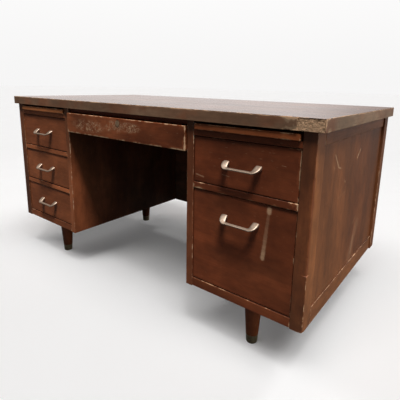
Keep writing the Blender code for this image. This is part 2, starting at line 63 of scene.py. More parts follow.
SIDES = {"left": -1, "right": 1}
PEDESTAL_DRAWERS = (
    "left_top_drawer", "left_middle_drawer", "left_bottom_drawer", "right_top_drawer", "file_drawer",
)
DIVIDERS = {"left": ("left_upper_divider", "left_lower_divider"), "right": ("right_divider",)}
BODY_OF = {node: body for body, nodes in frame["record"]["behaviour"]["bodies"].items() for node in nodes}
GRAIN_ORDER = {"x": (0, 1, 2), "y": (1, 0, 2), "z": (2, 0, 1)}

# Sizes of boards that the frame's boxes don't give
STILE_DEPTH = 0.026
RAIL_DEPTH = 0.020
BOTTOM_THICKNESS = 0.018
WALL = 0.012
TRAY_FLOOR = 0.005
CLEARANCE = 0.0003

# Places on the frame
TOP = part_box("desk_top")
TOP_LOW, TOP_HIGH = TOP
POST_LOW, POST_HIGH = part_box("right_front_post")
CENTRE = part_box("centre_drawer_front")
CENTRE_Y = CENTRE[0].y
FRONT_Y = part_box("file_drawer_front")[0].y
SIDE_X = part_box("right_side_panel")[1].x
STILE_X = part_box("right_inner_panel")[1].x + CLEARANCE
POST_X = POST_LOW.x - CLEARANCE


# Sizes, finishes and studio that a user would change


def number(name, description, default, **more):
    return FloatProperty(name=name, description=description, default=default, **more)


def length(*given):
    return number(*given, min=0.0, unit="LENGTH", precision=4)


def colour(name, description, default):
    return FloatVectorProperty(
        name=name, description=description, default=default, size=3, min=0.0, max=1.0, subtype="COLOR"
    )


def factor(name, description, default, most=1.0):
    return number(name, description, default, min=0.0, max=most, subtype="FACTOR")


def angle(name, description, default):
    return number(name, description, math.radians(default), subtype="ANGLE")


def strength(*given):
    return number(*given, min=0.0)


class DeskSizes(bpy.types.PropertyGroup):
    """Small sizes of the finished desk; the rest come from the frame"""

    arris: length("Arris rounding", "Radius of the softened edges of boards", 0.0013)
    sheet: length("Top sheet", "Thickness of the sheet on the desk top", 0.0014)
    band: length("Edge band", "Thickness of the strips round the desk top's edge", 0.0022)
    break_width: length("Broken corner", "Length of front edge band that is missing at the right", 0.069)
    nick_length: length("Nick length", "Usual length of the small nicks along arrises", 0.006)
    nick_depth: length("Nick depth", "Greatest depth of the small nicks along arrises", 0.0011)
    post_chip: length("Post chip", "Width of the sliver that is missing from the right front post", 0.0055)


class DeskFinishes(bpy.types.PropertyGroup):
    """Colours of the desk's finishes, as linear values"""

    top_wood: colour("Top", "Desk top's sheet", (0.110, 0.055, 0.038))
    band_wood: colour("Edge band", "Strips round the desk top's edge", (0.235, 0.128, 0.074))
    band_stain: colour("Edge band stain", "Redder patches of the edge strips", (0.250, 0.098, 0.048))
    face_wood: colour("Fronts", "Drawer fronts, rails and inner panels", (0.180, 0.042, 0.0140))
    side_wood: colour("Sides", "Outer frames, panels and back boards", (0.170, 0.0495, 0.0155))
    slide_wood: colour("Writing slides", "Pull-out boards over the drawers", (0.160, 0.042, 0.0125))
    drawer_wood: colour("Drawer insides", "Drawer boxes, bottoms and runners", (0.430, 0.270, 0.140))
    leg_wood: colour("Legs", "Turned legs", (0.265, 0.074, 0.026))
    raw_wood: colour("Worn wood", "Bare wood where the finish has rubbed through", (0.700, 0.430, 0.250))
    core: colour("Chipboard", "The desk top's core, where it shows", (0.700, 0.455, 0.275))
    pull_metal: colour("Pulls", "Satin metal of the bow pulls", (0.500, 0.385, 0.297))
    lock_metal: colour("Lock", "Metal of the lock", (0.560, 0.370, 0.225))
    ferrule_metal: colour("Ferrules", "Tarnished metal of the feet", (0.300, 0.240, 0.140))
    wear: factor("Wear", "How far the finish has rubbed through along arrises", 1.0, 3.0)


class DeskStudio(bpy.types.PropertyGroup):
    """The camera, the lights and the floor"""

    azimuth: angle("Camera azimuth", "Turn of the camera round the desk, from straight in front", 37.025)
    elevation: angle("Camera elevation", "Height of the camera above the horizon", 12.19)
    roll: angle("Camera roll", "Lean of the camera", 1.244)
    distance: length("Camera distance", "From the camera to the point that it looks at", 1.5684)
    target: FloatVectorProperty(
        name="Target", description="The point that the camera looks at", default=(0.1306, 0.0074, 0.5031),
        size=3, subtype="TRANSLATION", unit="LENGTH",
    )
    focal: number("Focal length", "In millimetres, on the sensor", 32.58, min=5.0)
    shift: FloatVectorProperty(
        name="Lens shift", description="As a share of the frame", default=(-0.0209, -0.0924), size=2
    )
    key: strength("Key light", "Strength of the soft light overhead", 3.7)
    key_angle: angle("Key softness", "Apparent size of each lamp of the key light", 9.0)
    floor_light: strength("Floor light", "Strength of the lights on the floor alone", 3.3)
    fill: strength("Fill light", "Soft light on the back and the sides", 1.1)
    ambient: factor("Ambient", "Light from all round", 0.018)
    floor: colour("Floor", "Plain pale floor", (0.90, 0.89, 0.885))
    backdrop: colour("Backdrop", "Plain pale backdrop", (0.925, 0.92, 0.918))


# Marks of use, and patches that are painted shade and painted light, each given as from, to, reach and
# strength


def front_mark(y, x, z, to_x, to_z, reach, share):
    """A mark on a face that looks to the front."""
    return (x, y, z), (to_x, y, to_z), reach, share


def side_mark(x, y, z, to_y, to_z, reach, share):
    """A mark on a face that looks to the side."""
    return (x, y, z), (x, to_y, to_z), reach, share


def front_arris(box, edge, reach, share):
    """A mark along an arris of a box's front: under, over, left or right."""
    low, high = box
    ends = {
        "under": (low.x, low.z, high.x, low.z),
        "over": (low.x, high.z, high.x, high.z),
        "left": (low.x, low.z, low.x, high.z),
        "right": (high.x, low.z, high.x, high.z),
    }
    return front_mark(low.y, *ends[edge], reach, share)


DRIP_TOP = Vector((0.6204, FRONT_Y, 0.4960))
DRIP_FOOT = Vector((0.6078, FRONT_Y, 0.3540))
DRIP_REACH = 0.0062
DRIP_SPREAD = 0.0034
DRIP_SHARES = (0.16, 0.18, 0.21, 0.25, 0.31, 0.39, 0.50, 0.66)


def drip():
    """A pale drip down the file drawer's front, wider and stronger towards its foot."""
    steps = len(DRIP_SHARES)
    points = [tuple(DRIP_TOP.lerp(DRIP_FOOT, i / steps)) for i in range(steps + 1)]
    return [
        (points[i], points[i + 1], DRIP_REACH + DRIP_SPREAD * i / steps, share)
        for i, share in enumerate(DRIP_SHARES)
    ]


FACE_STREAKS = [
    *drip(),
    front_mark(FRONT_Y, 0.6216, 0.5040, 0.6208, 0.4950, 0.0098, 0.80),
    front_mark(FRONT_Y, 0.3620, 0.5620, 0.3900, 0.5570, 0.0030, 0.40),
    front_mark(FRONT_Y, 0.4600, 0.5760, 0.4850, 0.5730, 0.0016, 0.35),
    front_mark(FRONT_Y, 0.6500, 0.6310, 0.6620, 0.6302, 0.0010, 0.35),
]
SIDE_STREAKS = [
    side_mark(SIDE_X, -0.2060, 0.6490, -0.1680, 0.6080, 0.0034, 0.80),
    side_mark(SIDE_X, -0.1680, 0.6080, -0.1480, 0.6020, 0.0030, 0.65),
    side_mark(SIDE_X, -0.2120, 0.6170, -0.2040, 0.6090, 0.0024, 0.45),
    side_mark(SIDE_X, 0.0530, 0.6350, 0.0200, 0.6080, 0.0033, 0.88),
    side_mark(SIDE_X, -0.0940, 0.5520, -0.0900, 0.5490, 0.0036, 0.70),
    side_mark(SIDE_X, 0.0430, 0.3700, 0.0830, 0.3850, 0.0020, 0.40),
    side_mark(SIDE_X, 0.0720, 0.3130, 0.0610, 0.2570, 0.0150, 0.30),
    side_mark(SIDE_X, 0.1000, 0.3500, 0.0500, 0.2450, 0.0340, 0.13),
    side_mark(SIDE_X, -0.1480, 0.5080, -0.0760, 0.5160, 0.0014, 0.30),
]
# Curly scratches: how tightly they wind along each axis, the contour of the noise they follow, their width
SCRATCH_LINES = (
    ((60.0, 60.0, 80.0), 0.50, 0.022),
    ((95.0, 95.0, 120.0), 0.55, 0.026),
    ((38.0, 38.0, 95.0), 0.45, 0.015),
)
# Fields of fine scratches on the centre drawer: middle and half sizes
CENTRE_SCRATCHES = (
    ((-0.178, CENTRE_Y, 0.667), (0.120, 0.02, 0.030)),
    ((-0.025, CENTRE_Y, 0.676), (0.055, 0.02, 0.032)),
    ((0.058, CENTRE_Y, 0.680), (0.075, 0.02, 0.022)),
)


# Node materials


class Paint:
    """A node tree of a material, a group or the world, built up socket by socket"""

    def __init__(self, tree):
        self.tree = tree

    def put(self, socket, value):
        if isinstance(value, bpy.types.NodeSocket):
            self.tree.links.new(value, socket)
        elif value is not None:
            if socket.type == "RGBA" and len(value) == 3:
                value = (*value, 1.0)
            socket.default_value = value

    def fill(self, made, values):
        """Puts values into a node's sockets, in order or by name or number."""
        for key, value in values.items() if isinstance(values, dict) else enumerate(values):
            self.put(made.inputs[key], value)
        return made

    def node(self, kind, values=(), **settings):
        made = self.tree.nodes.new("ShaderNode" + kind)
        for key, value in settings.items():
            setattr(made, key, value)
        return self.fill(made, values)

    def math(self, operation, *values, clamp=False):
        return self.node("Math", values, operation=operation, use_clamp=clamp).outputs[0]

    def vector(self, operation, *values, scale=None):
        made = self.node("VectorMath", values, operation=operation)
        if scale is not None:
            self.put(made.inputs["Scale"], scale)
        return made.outputs["Value" if operation in ("DOT_PRODUCT", "DISTANCE", "LENGTH") else "Vector"]

    def noise(self, at, scale=1.0, detail=2.0, rough=0.5, warp=0.0):
        values = {"Vector": at, "Scale": scale, "Detail": detail, "Roughness": rough, "Distortion": warp}
        return self.node("TexNoise", values).outputs["Fac"]

    def span(self, value, low, high, to_low=0.0, to_high=1.0):
        values = (value, low, high, to_low, to_high)
        return self.node("MapRange", values, interpolation_type="SMOOTHSTEP").outputs[0]

    def mix(self, share, first, second, blend="MIX"):
        values = {0: share, 6: first, 7: second}
        return self.node("Mix", values, data_type="RGBA", blend_type=blend).outputs[2]

    def split(self, vector):
        return tuple(self.node("SeparateXYZ", (vector,)).outputs)

    def attribute(self, name, output="Vector"):
        return self.node("Attribute", attribute_name=name).outputs[output]

    def place(self):
        return self.node("TexCoord").outputs["Object"]

    def greatest(self, values):
        return reduce(lambda first, second: self.math("MAXIMUM", first, second), values)

    def bump(self, height, distance, share):
        return self.node("Bump", {"Height": height, "Distance": distance, "Strength": share}).outputs[0]

    def choose(self, share, first, second):
        """The first shader, or the second where the share is 1."""
        return self.node("MixShader", (share, first, second)).outputs[0]


def material_paint(name):
    """A new material, its paint and its shader node."""
    made = bpy.data.materials.new(name)
    made.use_nodes = True
    return made, Paint(made.node_tree), made.node_tree.nodes["Principled BSDF"]


def times(tint, share):
    return tuple(min(1.0, channel * share) for channel in tint)


STREAK_SOCKETS = {"Place": "Vector", "From": "Vector", "To": "Vector", "Reach": "Float", "Share": "Float"}
# A streak's solid middle as a share of its reach, and how ragged its edge is
STREAK_CORE = 0.35
RAG_SCALE = 240.0
RAG_SHARE = 1.9
RAG_MOST = 0.0060


def streak_group():
    """A node group: how much of a rubbed streak from one point to another lies at a place."""
    name = "rubbed_streak"
    if name in bpy.data.node_groups:
        return bpy.data.node_groups[name]
    group = bpy.data.node_groups.new(name, "ShaderNodeTree")
    for label, kind in STREAK_SOCKETS.items():
        group.interface.new_socket(label, in_out="INPUT", socket_type="NodeSocket" + kind)
    group.interface.new_socket("Rubbed", in_out="OUTPUT", socket_type="NodeSocketFloat")
    paint = Paint(group)
    given = group.nodes.new("NodeGroupInput").outputs
    along = paint.vector("SUBTRACT", given["To"], given["From"])
    out = paint.vector("SUBTRACT", given["Place"], given["From"])
    covered = paint.vector("DOT_PRODUCT", out, along)
    reached = paint.math("DIVIDE", covered, paint.vector("DOT_PRODUCT", along, along), clamp=True)
    off = paint.vector("DISTANCE", out, paint.vector("SCALE", along, scale=reached))
    ragged = paint.math("SUBTRACT", paint.noise(given["Place"], RAG_SCALE, 3.0, 0.65), 0.5)
    rag = paint.math("MINIMUM", paint.math("MULTIPLY", given["Reach"], RAG_SHARE), RAG_MOST)
    off = paint.math("MULTIPLY_ADD", ragged, rag, off)
    rubbed = paint.span(off, paint.math("MULTIPLY", given["Reach"], STREAK_CORE), given["Reach"], 1.0, 0.0)
    result = group.nodes.new("NodeGroupOutput")
    paint.put(result.inputs[0], paint.math("MULTIPLY", rubbed, given["Share"]))
    return group


def streaks(paint, place, marks):
    """Where the face is rubbed by any of the marks."""
    shares = []
    for mark in marks:
        values = dict(zip(STREAK_SOCKETS, (place, *mark)))
        shares.append(paint.node("Group", values, node_tree=streak_group()).outputs[0])
    return paint.greatest(shares)


def scratch_fields(paint, place, fields):
    """Curly hairline scratches, kept to the given fields."""
    lines = []
    for stretch, level, width in SCRATCH_LINES:
        curls = paint.noise(paint.vector("MULTIPLY", place, stretch), 1.0, 2.0, 0.55, 0.8)
        off = paint.math("ABSOLUTE", paint.math("SUBTRACT", curls, level))
        lines.append(paint.span(off, width * STREAK_CORE, width, 1.0, 0.0))
    inside = []
    for middle, half in fields:
        out = paint.vector("DIVIDE", paint.vector("SUBTRACT", place, middle), half)
        inside.append(paint.span(paint.vector("LENGTH", out), 0.55, 1.0, 1.0, 0.0))
    patches = paint.span(paint.noise(place, 45.0, 2.0), 0.38, 0.50)
    shown = paint.math("MULTIPLY", paint.greatest(lines), patches)
    return paint.math("MULTIPLY", shown, paint.greatest(inside))


# How tightly the wood's patterns wind along the grain and across it
BAND_STRETCH = (0.9, 15.0, 15.0)
RING_STRETCH = (2.4, 62.0, 62.0)
GRAIN_STRETCH = (9.0, 260.0, 260.0)
PORE_STRETCH = (34.0, 1000.0, 1000.0)
CLOUD_STRETCH = (3.5, 9.0, 9.0)
SMUDGE_STRETCH = (22.0, 45.0, 45.0)
HAIR_STRETCH = (55.0, 16.0, 420.0)
# How far each board's patterns lie from the next board's, and how faded wood pales
LOT_SHIFT = (3.7, 1.3, 2.9)
FADING = (2.00, 2.60, 2.80)
# Width of a fully rubbed arris, and how ragged it is
RUBBED_WIDTH = 0.0044
RUBBED_RAG = 0.0022


def wood(name, base, raw, wear, gloss=0.42, figure=1.0, cloud=0.24, relief=0.45, specular=0.30, stain=None,
         marks=(), scratches=()):
    """Lacquered wood: figure, grain, pores, faded patches, rubbed arrises, streaks and scratches."""
    made, paint, shader = material_paint(name)
    at = paint.attribute("at")
    half = paint.attribute("half")
    seed, fade, tone = paint.split(paint.attribute("board"))
    rub = paint.attribute("rub", "Fac")
    place = paint.place()
    shift = paint.vector("SCALE", LOT_SHIFT, scale=seed)
    along = paint.vector("ADD", at, shift)

    def pattern(stretch, detail, rough=0.5, warp=0.0, start=along):
        return paint.noise(paint.vector("MULTIPLY", start, stretch), 1.0, detail, rough, warp)

    bands = pattern(BAND_STRETCH, 3.0, 0.55, 0.5)
    rings = pattern(RING_STRETCH, 2.0, 0.6, 0.6)
    grain = pattern(GRAIN_STRETCH, 2.0, 0.6, 0.2)
    pore = paint.span(pattern(PORE_STRETCH, 1.0), 0.60, 0.74)
    clouds = pattern(CLOUD_STRETCH, 2.0, 0.5, 0.3)
    smudges = pattern(SMUDGE_STRETCH, 3.0, 0.6, 0.4)
    blotch = paint.noise(along, 7.0, 3.0, 0.6)

    # Stain, fading and shade: random clouds and smudges, and each board's fade and tone, which in places are
    # painted light and painted shade
    faded = tuple(channel * share for channel, share in zip(base, FADING))
    tint = paint.mix(
        paint.span(bands, 0.30, 0.70), times(base, 1.0 - 0.26 * figure), times(base, 1.0 + 0.16 * figure)
    )
    tint = paint.mix(paint.span(blotch, 0.45, 0.75, 0.0, 0.20), tint, faded)
    tint = paint.mix(fade, tint, faded)
    if stain:
        stained = paint.span(paint.noise(along, 5.5, 3.0, 0.6, 0.4), 0.46, 0.62, 0.0, 0.75)
        tint = paint.mix(stained, tint, stain)
    smudge = 0.55 * cloud
    shade = paint.math(
        "MULTIPLY", paint.span(clouds, 0.28, 0.72, 1.0 - cloud, 1.0 + cloud),
        paint.span(smudges, 0.30, 0.70, 1.0 - smudge, 1.0 + smudge),
    )
    shade = paint.math("MULTIPLY", shade, paint.math("ADD", tone, 1.0))
    tint = paint.mix(1.0, tint, shade, "MULTIPLY")
    tint = paint.mix(paint.span(rings, 0.50, 0.75, 0.0, 0.16 * figure), tint, times(base, 0.45))
    tint = paint.mix(paint.span(grain, 0.40, 0.75, 0.0, 0.17 * figure), tint, times(base, 0.50))
    tint = paint.mix(paint.math("MULTIPLY", pore, 0.25), tint, times(base, 0.30))

    # Rubbed arrises: the middle one of the three distances to the board's faces is the distance to its arris
    a, b, c = paint.split(paint.vector("SUBTRACT", half, paint.vector("ABSOLUTE", at)))
    arris = paint.math(
        "MAXIMUM", paint.math("MINIMUM", a, b), paint.math("MINIMUM", paint.math("MAXIMUM", a, b), c)
    )
    patch = paint.noise(along, 38.0, 2.0, 0.6)
    fine = paint.math("SUBTRACT", paint.noise(along, 420.0, 2.0, 0.6), 0.5)
    ragged = paint.math("MULTIPLY_ADD", fine, RUBBED_RAG, arris)
    width = paint.math("MULTIPLY", rub, paint.span(patch, 0.37, 0.72, 0.0001, RUBBED_WIDTH * wear))
    worn = paint.span(ragged, paint.math("MULTIPLY", width, STREAK_CORE), width, 1.0, 0.0)
    thin = paint.span(ragged, width, paint.math("MULTIPLY", width, 4.0), 0.45, 0.0)
    tint = paint.mix(paint.math("MULTIPLY", thin, paint.math("MINIMUM", rub, 1.0)), tint, faded)

    # Bare wood on arrises, in streaks and in scratches, with the sparse hairlines that every used face has
    shares = [worn]
    if marks:
        shares.append(streaks(paint, place, marks))
    if scratches:
        shares.append(scratch_fields(paint, place, scratches))
    further = paint.vector("ADD", along, paint.vector("SCALE", shift, scale=2.0))
    shares.append(paint.span(pattern(HAIR_STRETCH, 1.0, start=further), 0.745, 0.79, 0.0, 0.30))
    bared = paint.greatest(shares)
    tint = paint.mix(bared, tint, paint.mix(paint.span(grain, 0.35, 0.65), raw, times(raw, 0.82)))

    rough = paint.math("MULTIPLY_ADD", grain, 0.10, gloss - 0.05)
    rough = paint.math("MULTIPLY_ADD", blotch, 0.10, rough)
    rough = paint.math("MULTIPLY_ADD", bared, 0.22, rough, clamp=True)
    height = paint.math("MULTIPLY_ADD", grain, -0.35, paint.math("MULTIPLY", rings, -0.15))
    height = paint.math("MULTIPLY_ADD", pore, -0.35, height)
    height = paint.math("MULTIPLY_ADD", bared, -0.90, height)
    normal = paint.bump(height, 0.0006, relief)
    looks = {"Base Color": tint, "Roughness": rough, "Normal": normal, "Specular IOR Level": specular}
    paint.fill(shader, looks)
    return made


# How chips are drawn out along each axis, and how many lie along a metre
CHIP_STRETCH = (0.8, 1.0, 1.5)
CHIP_SCALE = 380.0


def chipboard(name, base):
    """Pressed chips with dark gaps between them."""
    made, paint, shader = material_paint(name)
    place = paint.place()
    warp = paint.vector("SCALE", paint.node("TexNoise").outputs["Color"], scale=0.004)
    warped = paint.vector("ADD", paint.vector("MULTIPLY", place, CHIP_STRETCH), warp)
    chips = paint.node("TexVoronoi", {"Vector": warped, "Scale": CHIP_SCALE}, feature="F1").outputs
    shade, warmth, _ = paint.split(chips["Color"])
    crumbs = paint.noise(place, 900.0, 2.0, 0.7)
    warm = (base[0] * 0.9, base[1] * 0.62, base[2] * 0.45)
    tint = paint.mix(shade, times(base, 0.70), times(base, 1.25))
    tint = paint.mix(paint.math("MULTIPLY", warmth, 0.35), tint, warm)
    dark = paint.span(paint.noise(place, 170.0, 3.0, 0.65), 0.56, 0.68, 0.0, 0.55)
    gaps = paint.math("MAXIMUM", paint.span(chips["Distance"], 0.48, 0.80, 0.0, 0.45), dark)
    tint = paint.mix(gaps, tint, times(base, 0.25))
    height = paint.math("MULTIPLY_ADD", crumbs, 0.4, paint.math("MULTIPLY_ADD", gaps, -1.0, shade))
    rough = paint.span(shade, 0.0, 1.0, 0.75, 0.95)
    normal = paint.bump(height, 0.0012, 0.8)
    paint.fill(shader, {"Base Color": tint, "Roughness": rough, "Normal": normal, "Specular IOR Level": 0.2})
    return made


# Colour of the paler spots on tarnished metal: partly rubbed metal, partly painted glints of light
PAINTED_GLINT = (0.55, 0.50, 0.40)


def metal(name, base, rough, tarnish, brushed=(1.0, 1.0, 1.0), metallic=1.0, glints=0.0):
    """Worn metal: brushed lines, tarnished patches, fine pits, and paler spots that are partly rubbed metal
    and partly painted glints.
    """
    made, paint, shader = material_paint(name)
    place = paint.place()
    brush = paint.noise(paint.vector("MULTIPLY", place, brushed), 900.0, 2.0, 0.6)
    stain = paint.span(paint.noise(place, 55.0, 4.0, 0.6), 0.42, 0.70, 0.0, tarnish)
    pits = paint.noise(place, 1400.0, 2.0, 0.6)
    tint = paint.mix(paint.span(brush, 0.3, 0.7), times(base, 0.88), times(base, 1.08))
    tint = paint.mix(stain, tint, (base[0] * 0.42, base[1] * 0.36, base[2] * 0.28))
    tint = paint.mix(paint.span(pits, 0.64, 0.74, 0.0, 0.5), tint, times(base, 0.35))
    if glints:
        # Paler spots at random: rubbed metal and painted glints.
        rubbed = paint.span(paint.noise(place, 190.0, 3.0, 0.6), 0.60, 0.72, 0.0, glints)
        tint = paint.mix(rubbed, tint, PAINTED_GLINT)
    roughness = paint.math("MULTIPLY_ADD", stain, 0.22, paint.math("MULTIPLY_ADD", brush, 0.14, rough - 0.07))
    normal = paint.bump(paint.math("MULTIPLY_ADD", pits, -0.4, brush), 0.00025, 0.35)
    paint.fill(shader, {"Base Color": tint, "Metallic": metallic, "Roughness": roughness, "Normal": normal})
    return made


METALS = {
    "pull_metal": {"rough": 0.50, "tarnish": 0.45, "brushed": (0.06, 1.0, 1.0)},
    "lock_metal": {"rough": 0.36, "tarnish": 0.8, "metallic": 0.6, "glints": 0.5},
    "ferrule_metal": {
        "rough": 0.40, "tarnish": 0.6, "brushed": (1.0, 1.0, 0.08), "metallic": 0.40, "glints": 0.8,
    },
}
WOODS = {
    "top_wood": {"gloss": 0.22, "figure": 0.9, "relief": 0.14},
    "band_wood": {"gloss": 0.46, "figure": 0.8},
    "face_wood": {"marks": FACE_STREAKS},
    "centre_wood": {"figure": 1.35, "cloud": 0.34, "scratches": CENTRE_SCRATCHES},
    "side_wood": {"gloss": 0.40, "cloud": 0.27, "specular": 0.55, "marks": SIDE_STREAKS},
    "slide_wood": {"figure": 1.2},
    "drawer_wood": {"gloss": 0.62, "figure": 0.6},
    "leg_wood": {"gloss": 0.40, "figure": 0.8},
}
TINT_OF = {"centre_wood": "face_wood"}


def finish(name):
    """The named finish, made the first time that a piece asks for it."""
    key = f"desk_{name}"
    if key in bpy.data.materials:
        return bpy.data.materials[key]
    tints = bpy.context.scene.desk_finishes
    base = tuple(getattr(tints, TINT_OF.get(name, name)))
    if name == "core":
        return chipboard(key, base)
    if name in METALS:
        return metal(key, base, **METALS[name])
    stain = tuple(tints.band_stain) if name == "band_wood" else None
    return wood(key, base, tuple(tints.raw_wood), tints.wear, stain=stain, **WOODS[name])


# Meshes

BOX_SIDES = ("left", "front", "under", "right", "back", "over")


def part_of(box, **moved):
    """A box with some of its sides moved: left, front, under, right, back or over."""
    sides = dict(zip(BOX_SIDES, (*box[0], *box[1]))) | moved
    places = [sides[name] for name in BOX_SIDES]
    return Vector(places[:3]), Vector(places[3:])


def other_axes(axis):
    return [i for i in range(3) if i != axis]


def box_outline(low, high, axis):
    first, second = other_axes(axis)
    near, far = (low[first], low[second]), (high[first], high[second])
    return [near, (far[0], near[1]), far, (near[0], far[1])]


def shaped(bm, outline, axis, low, high, rounding):
    """Draws an outline out along an axis into a closed board and rounds its arrises."""
    first, second = other_axes(axis)
    rings = []
    for height in (low, high):
        ring = []
        for u, v in outline:
            point = [height] * 3
            point[first], point[second] = u, v
            ring.append(bm.verts.new(point))
        rings.append(ring)
    faces = [bm.faces.new(rings[0]), bm.faces.new(list(reversed(rings[1])))]
    for i in range(len(outline)):
        j = (i + 1) % len(outline)
        faces.append(bm.faces.new((rings[0][j], rings[0][i], rings[1][i], rings[1][j])))
    bmesh.ops.recalc_face_normals(bm, faces=faces)
    edges = list(dict.fromkeys(edge for face in faces for edge in face.edges))
    bmesh.ops.bevel(
        bm, geom=edges, offset=rounding, offset_type="OFFSET", segments=2, profile=0.5, affect="EDGES",
        clamp_overlap=True,
    )


def cut_across(bm, axis, stations):
    normal = Vector((0.0, 0.0, 0.0))
    normal[axis] = 1.0
    for station in stations:
        geom = [*bm.verts, *bm.edges, *bm.faces]
        bmesh.ops.bisect_plane(bm, geom=geom, dist=1e-6, plane_co=normal * station, plane_no=normal)


def in_order(bm):
    """Lists the faces by their corners, because cuts leave them in an order that differs from run to run."""
    bm.verts.index_update()
    ranked = sorted(bm.faces, key=lambda face: sorted(vert.index for vert in face.verts))
    for index, face in enumerate(ranked):
        face.index = index
    bm.faces.sort()


def plain_stations(low, high, rim, cell):
    """Cuts near both ends, and evenly between them."""
    if high - low < 4 * rim:
        return []
    count = max(1, round((high - low - 2 * rim) / cell))
    return [low + rim + (high - low - 2 * rim) * i / count for i in range(count + 1)]


# The shortest edge with nicks, the four arrises along an axis, a nick's cuts and how rubbed it is
NICKED_SPAN = 0.06
ARRIS_SIGNS = ((-1, -1), (-1, 1), (1, -1), (1, 1))
NICK_CUTS = (-0.5, -0.22, 0.0, 0.22, 0.5)
NICK_RUB = 0.7
# Shares of a board's rim that cuts keep clear of, and that a nick presses in
CUT_RIM = 0.8
DENT_RIM = 0.9


def seeded_nicks(name, low, high, sizes, rate):
    """Small dents along a board's arrises: axis, place, the arris's two signs, length and depth."""
    rng = random.Random(name)
    found = []
    for axis in range(3):
        span = high[axis] - low[axis]
        if span < NICKED_SPAN:
            continue
        for signs in ARRIS_SIGNS:
            for _ in range(int(span * rate + rng.random())):
                place = low[axis] + span * rng.uniform(0.03, 0.97)
                size = sizes.nick_length * rng.uniform(0.5, 1.6)
                found.append((axis, place, signs, size, sizes.nick_depth * rng.uniform(0.25, 1.0) ** 1.5))
    return found


def dent(bm, low, high, nicks, rim):
    """Presses the nicks into the arrises."""
    for axis, place, signs, size, depth in nicks:
        others = other_axes(axis)
        corner = [high[i] if sign > 0 else low[i] for i, sign in zip(others, signs)]
        for vert in bm.verts:
            along = abs(vert.co[axis] - place) / (size / 2)
            if along < 1.0 and all(abs(vert.co[i] - c) < rim * DENT_RIM for i, c in zip(others, corner)):
                press = depth * (1.0 - along * along)
                for i, sign in zip(others, signs):
                    vert.co[i] -= sign * press


def mesh_of(bm, name, sharp=None):
    """A smooth mesh, with arrises sharper than an angle in degrees left crisp."""
    mesh = bpy.data.meshes.new(name)
    bm.to_mesh(mesh)
    bm.free()
    mesh.shade_smooth()
    if sharp:
        mesh.set_sharp_from_angle(angle=math.radians(sharp))
    return mesh


def near_share(points, start, end, reach):
    """1 near the segment from start to end, easing to 0 a little past its reach."""
    start, end = np.array(start, float), np.array(end, float)
    along = end - start
    share = np.clip((points - start) @ along / max(along @ along, 1e-12), 0.0, 1.0)
    far = np.linalg.norm(points - start - share[:, None] * along, axis=1)
    return np.clip(1.6 - far / reach, 0.0, 1.0)


# How near a point lies to a face to count as on it
FACE_REACH = 0.0012


def write_board_attributes(mesh, name, low, high, grain, nicks=(), fade=0.0, fades_and_light=(), tone=0.0, tones=(),
                           faces=(), rub=0.30, rubs=()):
    """What the wood finish reads at each point: place in the board, half sizes, lot, fade, tone and rub; in
    places the fade and tone are painted light and painted shade.
    """
    count = len(mesh.vertices)
    points = np.zeros(count * 3)
    mesh.vertices.foreach_get("co", points)
    points = points.reshape(-1, 3)
    order = list(GRAIN_ORDER[grain])
    low, high = np.array(low, float), np.array(high, float)
    at = (points - (low + high) / 2)[:, order]
    half = np.tile(((high - low) / 2)[order], (count, 1))
    rng = random.Random(name + "_lot")
    lot = np.tile((rng.uniform(0.0, 9.0), fade, tone), (count, 1))
    for start, end, reach, share in fades_and_light:
        lot[:, 1] = np.maximum(lot[:, 1], share * near_share(points, start, end, reach))
    for axis, sign, face_fade, face_tone in faces:
        face = high[axis] if sign > 0 else low[axis]
        lot[np.abs(points[:, axis] - face) < FACE_REACH, 1:] = face_fade, face_tone
    for start, end, reach, share in tones:
        lot[:, 2] += share * near_share(points, start, end, reach)
    rubbed = np.full(count, rub)
    for start, end, reach, share in rubs:
        rubbed = np.maximum(rubbed, share * near_share(points, start, end, reach))
    for axis, place, signs, size, _ in nicks:
        corner = np.zeros(3)
        corner[axis] = place
        for i, sign in zip(other_axes(axis), signs):
            corner[i] = high[i] if sign > 0 else low[i]
        rubbed = np.maximum(rubbed, np.where(np.linalg.norm(points - corner, axis=1) < size, NICK_RUB, 0.0))
    for label, values in (("at", at), ("half", half), ("board", lot)):
        made = mesh.attributes.new(label, "FLOAT_VECTOR", "POINT")
        made.data.foreach_set("vector", values.astype(np.float32).ravel())
    mesh.attributes.new("rub", "FLOAT", "POINT").data.foreach_set("value", rubbed.astype(np.float32))


def add_piece(name, mesh, node, finish_name, slot=None, weighted=False):
    """Puts a finished mesh into the scene in place of a CAD node, riding on its body."""
    piece = bpy.data.objects.new(name, mesh)
    bpy.context.scene.collection.objects.link(piece)
    mesh.materials.append(finish(finish_name))
    if weighted:
        piece.modifiers.new("flat_faces", "WEIGHTED_NORMAL").weight = 100
    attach(piece, BODY_OF[node])
    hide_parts(node)
    slot or finish_name
    return piece


